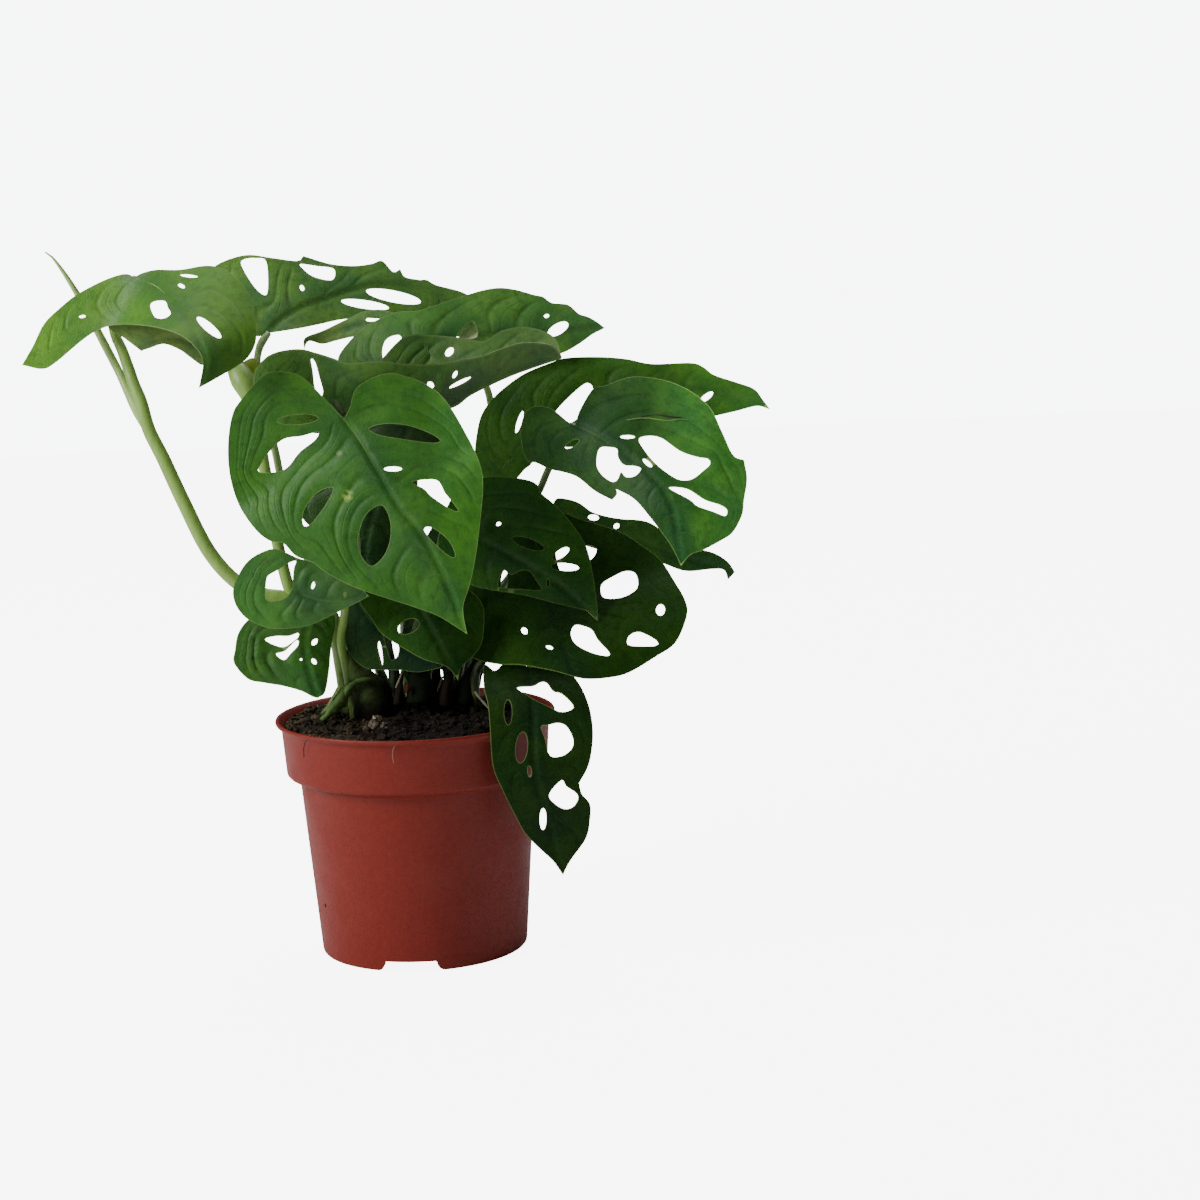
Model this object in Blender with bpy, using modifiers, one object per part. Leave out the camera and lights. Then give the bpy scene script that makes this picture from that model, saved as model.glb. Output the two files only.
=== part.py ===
"""Monstera adansonii in its terracotta-coloured nursery pot.

One object for each piece: the pot, the soil, one stalk and one holed blade for each leaf,
and the rolled new leaf. Metres, +Z up. The pot's axis is the Z axis, its foot stands at Z = 0
and its front faces -Y.

A blade or stalk is placed by sight: its points are read by hand off the photograph, across and
down a picture 1200 units wide, each with a depth in mm behind the pot's axis. spot() turns such
a point into a place in space through the photograph's own camera.
"""
from math import atan2, cos, exp, hypot, pi, radians, sin, sqrt, tanh

import bmesh
import bpy
from mathutils import Vector, geometry, noise
from mathutils.bvhtree import BVHTree

MM = 0.001
SHARP_ANGLE = radians(40)

# Camera of the photograph, fitted to the pot's rim and foot
PICTURE_CENTRE = 600.0
FOCAL_LENGTH = 2600.0
CAMERA_AWAY = 1120.0
CAMERA_HEIGHT = 323.0
CAMERA_DOWN = radians(8.76)
CAMERA_ASIDE = radians(4.22)
CAMERA_ROLL = radians(-1.96)
UNITS_PER_MM = 2.32

# Pot, in mm
POT_HEIGHT = 104.0
RIM_RADIUS = 61.0
LIP_HEIGHT = 3.0
COLLAR_TOP_RADIUS = 58.5
COLLAR_BOTTOM_RADIUS = 57.0
COLLAR_BOTTOM = 80.5
SHOULDER_DROP = 3.0
BODY_TOP_RADIUS = 51.4
FOOT_RADIUS = 45.1
FOOT_ROUNDING = 1.0
FOOT_RING = 2.6
WALL = 1.3
ROUNDING = 0.6
COLLAR_STEP = 2.0
FLOOR_UNDERSIDE = 5.4
FLOOR_TOP = 7.0
POT_SIDES = 36
NOTCH_WIDTH = 24.0
NOTCH_HEIGHT = 4.6
NOTCH_FLARE = 2.0
NOTCH_REACH = 14.0
NOTCH_DEPTH_BELOW = 1.0
NOTCH_COUNT = 3
NOTCH_TURN = radians(-98.7)

# Soil, in mm
SOIL_GAP = 0.35
SOIL_EDGE = 99.5
SOIL_CROWN = 4.0
SOIL_LUMPS = 1.6
SOIL_LUMP_SIZE = 13.0
SOIL_RINGS = 7

# Stalks, in mm
STALK_FOOT = 90.0
STALK_STRAIGHT_TOP = 107.0
STALK_SIDES_RESOLUTION = 1
STALK_STEP = 11.0
HOLE_GAP = 0.35
PEG_SIDES = 8
PEG_ABOVE = 8.0
STALK_TAPER = 5.0
BASE_SWELL = 1.1
BASE_REACH = 14.0
BLADE_GAP = 0.35
SEAT_STEP = 0.1
SEAT_LAST = 5.0
SEAT_TILT = 0.9

# Blades: thickness and crease in mm, the rest in picture units
BLADE_THICKNESS = 0.7
CREASE = 2.0
EDGE_STEP = 11.0
HOLE_POINTS = 8
INNER_STEP = 20.0
FOLLOW = 14.0

TERRACOTTA = (0.42, 0.085, 0.05)
PEAT = (0.035, 0.022, 0.015)
STALK_GREEN = (0.25, 0.38, 0.08)
LIGHT_GREEN = (0.12, 0.27, 0.035)
MID_GREEN = (0.065, 0.2, 0.03)
DARK_GREEN = (0.025, 0.1, 0.022)

# Leaves. mid: the midrib from the stalk to the tip, with depths. edge: the outline, where a third
# number marks a sharp corner. holes: a slot by its two ends and width, or a ring of points.
# slope: how the blade leaves the midrib, clockwise side first, as a depth change for each mm and
# a reach in mm. root: where its stalk stands in the soil, in mm. stalk: its way up.
LEAVES = {
    "leaf_front": dict(
        colour=MID_GREEN,
        mid=[(344, 419, -42), (360, 441, -47), (379, 474, -52), (398, 506, -56), (423, 537, -59),
             (443, 575, -61), (467, 634, -63)],
        edge=[(344, 419, 1), (324, 398), (308, 382), (293, 373), (266, 374), (241, 400), (232, 416),
              (228, 445), (230, 476), (239, 505), (255, 529), (270, 541), (283, 543), (296, 556),
              (312, 562), (327, 573), (354, 587), (386, 598), (411, 606), (436, 615), (450, 623),
              (467, 634, 1), (463, 608), (469, 587), (475, 560), (480, 522), (483, 483), (478, 459),
              (465, 432), (446, 401), (427, 385), (401, 375), (384, 374), (368, 380), (355, 390),
              (350, 407)],
        holes=[(318, 418, 272, 421, 10), (384, 469, 402, 469, 5),
               [(318, 432), (315, 440), (300, 452), (288, 467), (277, 472), (259, 472), (261, 464),
                (270, 451), (284, 439), (302, 436)],
               [(333, 488), (328, 501), (313, 522), (304, 526), (303, 514), (311, 499), (322, 490)],
               [(383, 506), (390, 521), (390, 540), (383, 557), (371, 566), (361, 555), (358, 540),
                (363, 520), (372, 509)],
               [(369, 429), (383, 424), (405, 425), (427, 432), (440, 440), (432, 443), (401, 439),
                (379, 435)],
               [(412, 482), (436, 480), (445, 493), (453, 503), (458, 511), (450, 509), (432, 497),
                (424, 489)],
               [(424, 529), (430, 527), (443, 535), (452, 546), (455, 557), (448, 555), (436, 545),
                (427, 535)]],
        slope=((0.05, 60), (0.15, 60)),
        root=(-26, -4), stalk=[(346, 668, -7), (341, 640, -12), (344, 616, -17), (350, 560, -26),
                               (348, 480, -35)]),
    "leaf_top_left": dict(
        colour=LIGHT_GREEN,
        mid=[(135, 278, 8), (157, 287, -12), (173, 303, -30), (187, 318, -43), (198, 340, -54),
             (205, 362, -59), (199, 388, -62)],
        edge=[(135, 277, 1), (125, 274), (105, 280), (78, 294), (60, 308), (44, 324), (33, 346),
              (22, 365, 1), (42, 369), (55, 363), (80, 342), (96, 331), (115, 325), (149, 326),
              (178, 334), (195, 347), (203, 362), (199, 388, 1), (222, 375), (237, 366), (249, 356),
              (256, 340), (255, 320), (252, 301), (241, 283), (225, 270), (207, 266), (180, 270),
              (157, 270), (143, 273)],
        holes=[[(150, 305), (155, 301), (165, 301), (168, 308), (171, 314), (166, 318), (160, 319),
                (154, 316)],
               (79, 317, 86, 316, 3), (180, 275, 198, 277, 3.5), (178, 284, 185, 288, 4),
               (197, 317, 221, 338, 9)],
        slope=((-0.25, 80), (0.5, 60)),
        root=(-29, 5), stalk=[(345, 685, 3), (341, 662, 0), (337, 638, -2), (331, 619, -3),
                              (315, 606, -4), (298, 601, -5), (280, 597, -6), (260, 594, -6),
                              (234, 580, -6), (208, 550, -5), (184, 503, -3), (163, 458, -1),
                              (149, 430, 1), (141, 402, 3), (134, 385, 5), (129, 370, 7),
                              (122, 350, 9), (115, 334, 12), (113, 315, 14), (121, 293, 14)]),
    "leaf_left_behind": dict(
        colour=MID_GREEN,
        mid=[(206, 350, 6), (180, 338, 6), (158, 341, 4), (141, 351, 2)],
        edge=[(206, 350, 1), (203, 365), (191, 358), (180, 350), (164, 344), (150, 348),
              (141, 351, 1), (124, 338), (108, 327), (124, 322), (148, 323), (172, 325), (192, 336)],
        holes=[],
        slope=((0.1, 60), (-0.2, 60)),
        sheath=(243, 381, -3, 3.6, 12.0),
        stalk=[(289, 588, -6), (283, 567, -5), (278, 545, -5), (271, 505, -6), (264, 465, -6),
               (257, 425, -5), (249, 393, -4), (242, 379, -2), (232, 362, 3), (219, 353, 8)]),
    "leaf_top_back": dict(
        colour=MID_GREEN,
        mid=[(268, 333, 12), (281, 320, 20), (301, 308, 28), (326, 299, 35), (353, 290, 41),
             (380, 285, 47), (407, 286, 51), (434, 293, 54), (462, 308, 56), (484, 334, 57)],
        edge=[(268, 333, 1), (300, 328), (320, 324), (344, 319), (370, 318), (400, 321), (430, 329),
              (456, 336), (468, 339), (484, 334, 1), (484, 312), (466, 294), (436, 285), (427, 280),
              (420, 280, 1), (405, 277), (400, 269, 1), (393, 272), (382, 261), (371, 264),
              (353, 266), (330, 264), (303, 256, 1), (297, 261), (272, 258), (249, 255), (230, 259),
              (214, 267), (206, 280),
              (216, 302), (238, 324), (256, 336)],
        holes=[[(241, 264), (245, 259), (256, 258), (266, 261), (268, 284), (266, 295), (259, 292),
                (250, 281)],
               [(300, 264), (317, 266), (334, 269), (332, 280), (314, 277), (304, 270)],
               (301, 285, 303, 291, 4.5), (341, 301, 389, 308, 9), (366, 291, 421, 302, 12)],
        slope=((-0.45, 60), (0.4, 30)),
        swell=2.9,
        root=(-24.5, 16), stalk=[(352, 668, 14), (346, 640, 12), (330, 606, 11), (308, 560, 9),
                               (292, 515, 5), (281, 478, 1), (275, 450, 1), (265, 412, 4),
                               (258, 381, 8), (257, 362, 10), (260, 346, 13)]),
    "leaf_top_small": dict(
        colour=LIGHT_GREEN,
        mid=[(402, 326, 30), (365, 325, 30), (335, 334, 29), (304, 349, 27)],
        edge=[(402, 326, 1), (384, 333), (352, 337), (335, 341), (322, 344), (309, 341),
              (304, 349, 1), (305, 338), (322, 331), (345, 320), (365, 311), (385, 310), (398, 316)],
        holes=[(366, 320, 380, 318, 5)],
        slope=((0.0, 60), (0.0, 60)),
        root=(-13, 22), stalk=[(372, 640, 30), (352, 560, 34), (348, 480, 35), (352, 420, 35),
                               (368, 375, 34), (374, 350, 33), (383, 333, 33)]),
    "leaf_top_right": dict(
        colour=MID_GREEN,
        mid=[(404, 354, 12), (425, 343, 13), (450, 338, 15), (495, 335, 18), (530, 334, 20),
             (570, 331, 22), (605, 328, 24)],
        edge=[(404, 354, 1), (425, 353), (440, 345), (456, 345), (472, 352), (505, 356), (540, 356),
              (562, 353), (579, 344), (593, 334), (605, 328, 1), (597, 322), (588, 317),
              (579, 314), (568, 305), (552, 303), (543, 297), (534, 295), (516, 290), (500, 288),
              (485, 290), (467, 295), (440, 304), (417, 311), (394, 313),
              (367, 326), (349, 342), (338, 359), (346, 370), (368, 377), (392, 372)],
        holes=[[(383, 358), (383, 346), (388, 338), (399, 335), (402, 342), (398, 353), (390, 360)],
               (548, 335, 568, 323, 11), (544, 317, 549, 315, 4),
               [(457, 338), (464, 327), (473, 322), (477, 337)]],
        slope=((-0.3, 60), (0.6, 60)),
        root=(-3, 15), stalk=[(448, 620, 24), (464, 570, 29), (478, 520, 35), (491, 440, 38),
                              (489, 395, 34), (474, 372, 25), (438, 362, 18)]),
    "leaf_top_folded": dict(
        colour=DARK_GREEN,
        mid=[(349, 418, -20), (375, 417, -19), (410, 416, -18), (452, 407, -17), (470, 395, -16),
             (494, 383, -15), (515, 374, -14), (535, 367, -13), (562, 358, -12)],
        halves=[
            dict(edge=[(562, 358, 1), (554, 347), (541, 343), (521, 343), (500, 349), (485, 355),
                       (461, 360), (436, 364), (407, 364), (378, 361), (349, 363), (333, 358),
                       (317, 353), (299, 349), (277, 352), (263, 360), (253, 376), (258, 400),
                       (275, 422), (305, 432), (332, 432), (349, 418, 1)],
                 holes=[[(311, 359), (315, 362), (319, 376), (323, 391), (321, 396), (315, 388),
                         (313, 372)], (453, 378, 457, 371, 4), (449, 388, 471, 377, 4),
                        (428, 382, 433, 388, 6)],
                 slope=((-0.8, 10), (-0.8, 10))),
            dict(edge=[(562, 358, 1), (556, 340), (543, 331), (523, 327), (504, 330), (496, 334),
                       (485, 341), (472, 340), (454, 337), (427, 335), (404, 337), (381, 360),
                       (362, 382), (349, 418, 1)],
                 holes=[(446, 356, 453, 348, 7),
                        [(452, 370), (462, 368), (477, 373), (471, 382), (451, 392), (444, 386)],
                        (430, 379, 431, 390, 9)],
                 slope=((0.9, 24), (0.9, 24)))],
        root=(-9, 5), stalk=[(362, 620, 4), (356, 540, -2), (350, 480, -9), (348, 440, -15)]),
    "leaf_right_back": dict(
        colour=DARK_GREEN,
        mid=[(540, 440, 16), (580, 412, 17), (640, 393, 18), (700, 391, 19), (740, 399, 19),
             (770, 409, 18)],
        edge=[(540, 440, 1), (572, 447), (600, 431), (640, 426), (690, 421), (715, 416), (737, 411),
              (757, 406), (770, 409, 1), (763, 400), (754, 389), (735, 382), (714, 375), (703, 367),
              (690, 363), (652, 364), (626, 359), (599, 357), (567, 358), (550, 363), (524, 374),
              (503, 389), (490, 402), (480, 419), (475, 449), (477, 466), (488, 482), (503, 487),
              (517, 478), (524, 470), (532, 463), (536, 449)],
        holes=[[(555, 414), (562, 404), (579, 388), (588, 383), (593, 389), (589, 402), (580, 416),
                (570, 423), (561, 421)],
               (523, 411, 516, 433, 5), (700, 402, 713, 392, 6)],
        slope=((-0.2, 60), (0.4, 60)),
        root=(6, 12.5), stalk=[(450, 620, 20), (480, 560, 23), (498, 505, 25), (507, 470, 23),
                             (520, 452, 20)]),
    "leaf_right_front": dict(
        colour=DARK_GREEN,
        mid=[(575, 425, -8), (592, 433, -14), (617, 448, -20), (641, 467, -26), (662, 488, -31),
             (673, 511, -35), (678, 540, -38), (681, 566, -40)],
        edge=[(575, 425, 1), (567, 421), (552, 409), (539, 406), (528, 410), (522, 421), (521, 438),
              (526, 459), (537, 463), (550, 469), (567, 473), (579, 478), (595, 491), (612, 500, 1),
              (617, 494), (616, 489, 1), (634, 499), (649, 516), (665, 537), (673, 549),
              (681, 566, 1), (690, 555), (703, 550), (722, 540), (733, 532), (742, 515), (744, 500),
              (747, 479), (744, 460, 1), (733, 455), (722, 432), (710, 408), (690, 391), (663, 380),
              (631, 377), (605, 386), (593, 389), (580, 410)],
        holes=[[(600, 448), (608, 447), (617, 449), (618, 457), (624, 465), (635, 466), (641, 469),
                (635, 476), (626, 477), (621, 472), (618, 479), (613, 482), (603, 476), (597, 467),
                (597, 456)],
               (643, 459, 652, 467, 4.5),
               [(639, 441), (646, 436), (661, 438), (680, 451), (697, 457), (708, 459), (710, 464),
                (704, 470), (692, 479), (680, 480), (667, 473), (652, 460)],
               (620, 437, 635, 437, 4),
               [(669, 488), (687, 489), (705, 500), (720, 505), (727, 510), (725, 516), (714, 512),
                (697, 506), (690, 500)],
               (565, 448, 579, 440, 6)],
        slope=((0.15, 60), (0.35, 60)),
        root=(15, -1), stalk=[(451, 650, -4), (456, 610, -7), (472, 562, -11), (502, 531, -10),
                             (534, 499, -6), (549, 468, -3), (562, 444, -3)]),
    "leaf_middle": dict(
        colour=DARK_GREEN,
        mid=[(446, 522, -12), (480, 540, -16), (520, 561, -20), (560, 586, -24), (598, 621, -27)],
        edge=[(446, 522, 1), (438, 540), (446, 565), (470, 584), (492, 590), (523, 595), (554, 603),
              (580, 609), (591, 612), (598, 621, 1), (597, 605), (593, 576), (587, 549), (575, 528),
              (556, 506), (542, 494), (535, 483), (516, 478), (488, 477), (470, 482), (457, 492),
              (447, 507)],
        holes=[(553, 559, 569, 548, 8), (551, 566, 579, 568, 8), (548, 579, 548, 587, 3),
               [(498, 585), (503, 570), (511, 575), (520, 571), (529, 571), (537, 582), (541, 590),
                (521, 589), (505, 588)],
               (512, 538, 544, 549, 10), (496, 525, 501, 523, 4)],
        slope=((-0.1, 60), (0.25, 60)),
        root=(0, -4), stalk=[(412, 650, -5), (425, 600, -7), (438, 550, -8)]),
    "leaf_right_low": dict(
        colour=DARK_GREEN,
        mid=[(533, 535, 8), (545, 570, -4), (552, 605, -16), (565, 647, -34), (575, 677, -46)],
        edge=[(533, 535, 1), (515, 527), (490, 532), (470, 555), (462, 590), (463, 630), (471, 656),
              (498, 664), (521, 665), (554, 671), (575, 677, 1), (587, 679), (606, 678), (628, 673),
              (657, 656), (676, 642), (687, 615), (685, 600), (676, 584), (661, 561), (645, 548),
              (620, 532), (583, 520), (562, 513), (545, 518)],
        holes=[[(602, 584), (616, 575), (626, 571), (635, 573), (638, 582), (636, 590), (624, 597),
                (610, 599), (602, 596)],
               [(586, 546), (596, 548), (595, 555), (589, 560)], (661, 604, 660, 616, 9),
               [(627, 642), (630, 635), (640, 632), (657, 641), (655, 646), (631, 646)],
               [(571, 632), (575, 625), (584, 626), (592, 630), (598, 640), (609, 652), (608, 656),
                (595, 654), (581, 648), (573, 641)],
               [(556, 548), (571, 546), (582, 562), (581, 573), (562, 574)],
               (505, 570, 504, 592, 7), (522, 628, 527, 634, 6), (546, 646, 553, 649, 4)],
        slope=((0.15, 60), (0.2, 60)),
        root=(17, 8), stalk=[(468, 640, 14), (500, 590, 18), (525, 556, 14)]),
    "leaf_right_narrow": dict(
        colour=DARK_GREEN,
        mid=[(552, 508, 30), (600, 527, 30), (650, 545, 29), (700, 562, 27), (735, 572, 25)],
        edge=[(552, 508, 1), (565, 535), (600, 550), (640, 556), (662, 563), (686, 571), (712, 569),
              (724, 570), (728, 580, 1), (735, 572, 1), (728, 562), (716, 554), (703, 550),
              (680, 545), (650, 523), (622, 519), (609, 517), (592, 512), (579, 503), (566, 499), (556, 499)],
        holes=[(588, 517, 599, 518, 6), (614, 528, 619, 524, 5)],
        slope=((-0.3, 60), (0.5, 60)),
        root=(23, 15), stalk=[(478, 640, 28), (510, 580, 34), (536, 530, 34)]),
    "leaf_hanging": dict(
        colour=DARK_GREEN,
        mid=[(530, 668, -20), (532, 690, -36), (533, 723, -49), (535, 773, -54), (548, 823, -50),
             (563, 875, -44)],
        edge=[(530, 668, 1), (515, 662), (503, 664), (499, 668), (494, 671), (484, 665), (484, 688),
              (488, 705), (490, 728),
              (493, 766), (503, 791), (517, 819), (525, 833), (537, 846), (553, 861), (563, 875, 1),
              (570, 861), (586, 838), (590, 819), (590, 804), (582, 794), (579, 783, 1), (587, 769),
              (591, 755), (593, 733), (590, 710), (583, 691), (574, 677), (562, 666), (545, 662)],
        holes=[[(517, 688), (533, 686), (541, 682), (547, 683), (553, 691), (562, 694), (573, 705),
                (571, 710), (560, 712), (545, 705), (533, 699)],
               [(541, 727), (548, 725), (559, 723), (567, 727), (573, 739), (572, 748), (564, 755),
                (553, 757), (548, 752), (545, 739)],
               (508, 700, 508, 725, 8), (523, 732, 520, 763, 12), (529, 766, 530, 777, 4),
               [(562, 780), (566, 786), (576, 793), (578, 799), (573, 807), (564, 809), (554, 803),
                (549, 796), (553, 788)],
               (543, 808, 543, 830, 7)],
        slope=((-0.15, 60), (0.15, 60)),
        root=(26, -3), stalk=[(477, 670, -6), (496, 650, -10), (518, 650, -13), (529, 660, -15)]),
    "leaf_left_small": dict(
        colour=MID_GREEN,
        mid=[(301, 594, -29), (320, 600, -31), (343, 601, -33), (369, 596, -35)],
        edge=[(298, 558), (276, 549), (260, 553), (247, 562), (238, 576), (233, 590), (235, 603),
              (242, 614), (251, 621), (269, 628), (292, 628), (310, 625), (328, 617), (346, 608),
              (360, 601), (369, 596, 1), (355, 583), (335, 572), (315, 563)],
        holes=[[(266, 584), (268, 576), (276, 571), (289, 563), (296, 561), (294, 568), (293, 577),
                (292, 589), (285, 598), (275, 601), (266, 599)],
               (315, 581, 312, 589, 3.5), (345, 592, 345, 597, 3)],
        slope=((0.1, 60), (0.1, 60)),
        stalk=[(303, 602.5, -8.2), (302, 601, -16), (302, 597, -24)]),
    "leaf_left_low": dict(
        colour=DARK_GREEN,
        mid=[(312, 610, -12), (305, 640, -15), (309, 672, -18), (318, 697, -20)],
        edge=[(312, 610, 1), (290, 611), (265, 612), (248, 620), (238, 634), (235, 650), (234, 663),
              (248, 679), (265, 683), (283, 686), (301, 691), (313, 697), (318, 698, 1), (325, 692),
              (329, 670), (331, 648), (336, 620), (327, 608)],
        holes=[[(265, 639), (276, 636), (289, 636), (298, 633), (298, 637), (291, 643), (283, 647),
                (272, 644)],
               [(276, 654), (285, 651), (297, 640), (298, 645), (291, 653), (284, 660)],
               (312, 645, 317, 639, 5), (312, 659, 316, 664, 4.5), (300, 659, 302, 660, 2.5)],
        slope=((0.05, 60), (0.5, 60)),
        stalk=[(322, 616, -7.5), (317, 613, -9.0)]),
    "leaf_below_front": dict(
        colour=MID_GREEN,
        mid=[(410, 588, -18), (425, 618, -25), (443, 652, -31), (458, 680, -35)],
        edge=[(410, 588, 1), (390, 582), (367, 587), (359, 600), (373, 621), (382, 634), (400, 646),
              (423, 659), (447, 667), (458, 680, 1), (461, 668), (472, 657), (481, 645), (484, 625),
              (482, 604), (465, 588), (435, 580)],
        holes=[(398, 631, 419, 622, 14)],
        slope=((-0.05, 60), (0.3, 60)),
        root=(-9, -4), stalk=[(392, 665, -4), (388, 642, -4), (389, 614, -4), (398, 598, -10)]),
    "leaf_low_dark": dict(
        colour=DARK_GREEN,
        mid=[(357, 600, -6), (372, 622, -9), (405, 650, -12), (440, 668, -13)],
        edge=[(357, 600, 1), (347, 605), (344, 618), (345, 640), (349, 652), (357, 662), (366, 668),
              (378, 670), (400, 670), (418, 672), (440, 668, 1), (449, 660), (440, 653), (418, 645),
              (396, 632), (380, 617), (368, 605)],
        holes=[(379, 641, 382, 666, 4),
               [(383, 632), (389, 638), (398, 644), (398, 655), (392, 660), (388, 652)]],
        slope=((0.1, 60), (0.1, 60)),
        root=(-18, 0), stalk=[(366, 660, 0), (364, 630, -2), (360, 612, -3)]),
    "leaf_back_high": dict(
        colour=DARK_GREEN,
        mid=[(415, 410, 42), (400, 450, 46), (378, 500, 48), (365, 550, 46), (370, 592, 42)],
        edge=[(415, 410, 1), (397, 400), (368, 405), (350, 425), (342, 458), (322, 478), (297, 490),
              (297, 511), (303, 519), (312, 527), (336, 537), (348, 555), (356, 574), (370, 592, 1),
              (388, 570), (398, 540), (402, 510),
              (404, 482), (424, 466),
              (440, 448), (443, 430), (432, 413)],
        holes=[(366, 462, 350, 476, 8), (388, 452, 414, 454, 7)],
        slope=((0.25, 60), (0.25, 60)),
        root=(-4, 43), stalk=[(406, 650, 46), (404, 620, 50), (412, 520, 58), (416, 440, 55)]),
    "leaf_back_right": dict(
        colour=DARK_GREEN,
        mid=[(455, 505, 44), (452, 545, 50), (458, 590, 52), (470, 628, 50)],
        edge=[(455, 505, 1), (440, 511), (424, 528), (420, 560), (430, 590), (450, 612),
              (470, 628, 1), (482, 600), (491, 570), (494, 540), (488, 517), (470, 503)],
        holes=[(444, 548, 430, 560, 9), (462, 566, 480, 580, 10)],
        slope=((0.2, 60), (0.2, 60)),
        root=(3, 44), stalk=[(438, 640, 54), (450, 570, 60), (455, 528, 55)]),
    "leaf_back_low": dict(
        colour=DARK_GREEN,
        mid=[(428, 600, 34), (434, 630, 35), (444, 662, 36), (458, 691, 36)],
        edge=[(428, 600, 1), (412, 606), (403, 628), (401, 655), (404, 676), (415, 689), (436, 695),
              (458, 691, 1), (470, 672), (474, 642), (468, 615), (450, 600)],
        holes=[(424, 628, 414, 636, 7), [(436, 670), (442, 670), (443, 683), (439, 684)]],
        slope=((0.1, 60), (0.1, 60)),
        root=(16, 49), stalk=[(452, 655, 48), (434, 618, 43)]),
}
STALK_RADII = {"leaf_top_left": (3.2, 1.2), "leaf_left_behind": (2.6, 1.4),
               "leaf_top_back": (1.7, 1.5), "leaf_left_low": (1.3, 1.2),
               "leaf_right_front": (1.7, 1.4)}
PLAIN_STALK_RADII = (1.8, 1.1)

# Rolled new leaf, which leaves the long stalk on its upper side: points and radii in mm
NEW_LEAF = [(150, 437, 1, 1.2), (138, 411, 4, 2.5), (130, 395, 6, 2.2), (123, 381, 8, 1.8),
            (118, 370, 10, 1.8), (107.5, 350, 12, 1.8), (97, 330, 13, 1.6),
            (79, 297, 14, 1.1), (64, 273, 14, 0.8), (52, 257, 14, 0.5), (45, 252, 14, 0.35)]

# Aerial root, which comes out low on the long stalk and lies down on the soil
AERIAL_ROOT = [(342, 689, 4, 2.4), (335, 700, 2, 2.0), (328, 709, 1, 1.5), (322, 715, 0, 1.1)]


def make_collection(name):
    """A collection linked to the scene."""
    collection = bpy.data.collections.new(name)
    bpy.context.scene.collection.children.link(collection)
    return collection


def make_material(name, colour, roughness):
    """A Principled material of one colour."""
    material = bpy.data.materials.new(name)
    material.use_nodes = True
    shader = material.node_tree.nodes["Principled BSDF"]
    shader.inputs["Base Color"].default_value = (*colour, 1.0)
    shader.inputs["Roughness"].default_value = roughness
    shader.inputs["Metallic"].default_value = 0.0
    return material


def make_object(name, mesh, collection, material=None):
    """An object of its own for a mesh."""
    obj = bpy.data.objects.new(name, mesh)
    collection.objects.link(obj)
    if material:
        mesh.materials.append(material)
    return obj


def apply_modifiers(obj):
    """Replace an object's mesh by its modified one."""
    bpy.context.view_layer.update()
    graph = bpy.context.evaluated_depsgraph_get()
    mesh = bpy.data.meshes.new_from_object(obj.evaluated_get(graph))
    obj.modifiers.clear()
    obj.data = mesh
    return obj


def shade(obj):
    """Shade an object smooth but for its sharp edges."""
    obj.data.shade_smooth()
    obj.data.set_sharp_from_angle(angle=SHARP_ANGLE)
    return obj


def spot(across, down, depth):
    """Place in space of a point of the picture at a depth in mm behind the pot's axis."""
    forward = Vector((sin(CAMERA_ASIDE) * cos(CAMERA_DOWN), cos(CAMERA_ASIDE) * cos(CAMERA_DOWN),
                      -sin(CAMERA_DOWN)))
    level = Vector((cos(CAMERA_ASIDE), -sin(CAMERA_ASIDE), 0.0))
    upright = level.cross(forward)
    right = cos(CAMERA_ROLL) * level + sin(CAMERA_ROLL) * upright
    up = cos(CAMERA_ROLL) * upright - sin(CAMERA_ROLL) * level
    ray = (forward + right * (across - PICTURE_CENTRE) / FOCAL_LENGTH
           + up * (PICTURE_CENTRE - down) / FOCAL_LENGTH)
    reach = (CAMERA_AWAY + depth) / ray.y
    return (Vector((0.0, -CAMERA_AWAY, CAMERA_HEIGHT)) + ray * reach) * MM


def smooth_run(points, step):
    """Even points on a smooth curve through the given ones, ends included."""
    padded = [points[0] * 2 - points[1]] + points + [points[-1] * 2 - points[-2]]
    run = [points[0]]
    for before, start, end, after in zip(padded, padded[1:], padded[2:], padded[3:]):
        count = max(1, round((end - start).length / step))
        for i in range(1, count + 1):
            t = i / count
            run.append(0.5 * (2 * start + (end - before) * t
                              + (2 * before - 5 * start + 4 * end - after) * t * t
                              + (3 * start - before - 3 * end + after) * t ** 3))
    return run


def closed_outline(edge, step):
    """Outline through the edge's points, smooth except at its marked corners."""
    corners = [i for i, point in enumerate(edge) if len(point) == 3]
    turned = edge[corners[0]:] + edge[:corners[0] + 1]
    outline = []
    run = []
    for i, point in enumerate(turned):
        run.append(Vector(point[:2]))
        if i and len(point) == 3:
            outline += smooth_run(run, step)[:-1]
            run = run[-1:]
    return outline


def hole_ring(hole):
    """Points round one hole: an ellipse for a slot, or the hole's own ring."""
    if isinstance(hole, list):
        return [Vector(point) for point in hole]
    start = Vector(hole[:2])
    end = Vector(hole[2:4])
    along = (end - start) / 2
    across = along.orthogonal().normalized() * hole[4] / 2
    turns = [2 * pi * i / HOLE_POINTS for i in range(HOLE_POINTS)]
    return [(start + end) / 2 + along * cos(turn) + across * sin(turn) for turn in turns]


def inside(point, ring):
    """True where a flat point lies inside a ring."""
    odd = False
    for start, end in zip(ring, ring[1:] + ring[:1]):
        if (start.y > point.y) != (end.y > point.y):
            crossing = start.x + (point.y - start.y) * (end.x - start.x) / (end.y - start.y)
            if point.x < crossing:
                odd = not odd
    return odd


def nearness(point, ring):
    """Distance from a flat point to the nearest point of a ring."""
    return min((point - other).length for other in ring)


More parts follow.
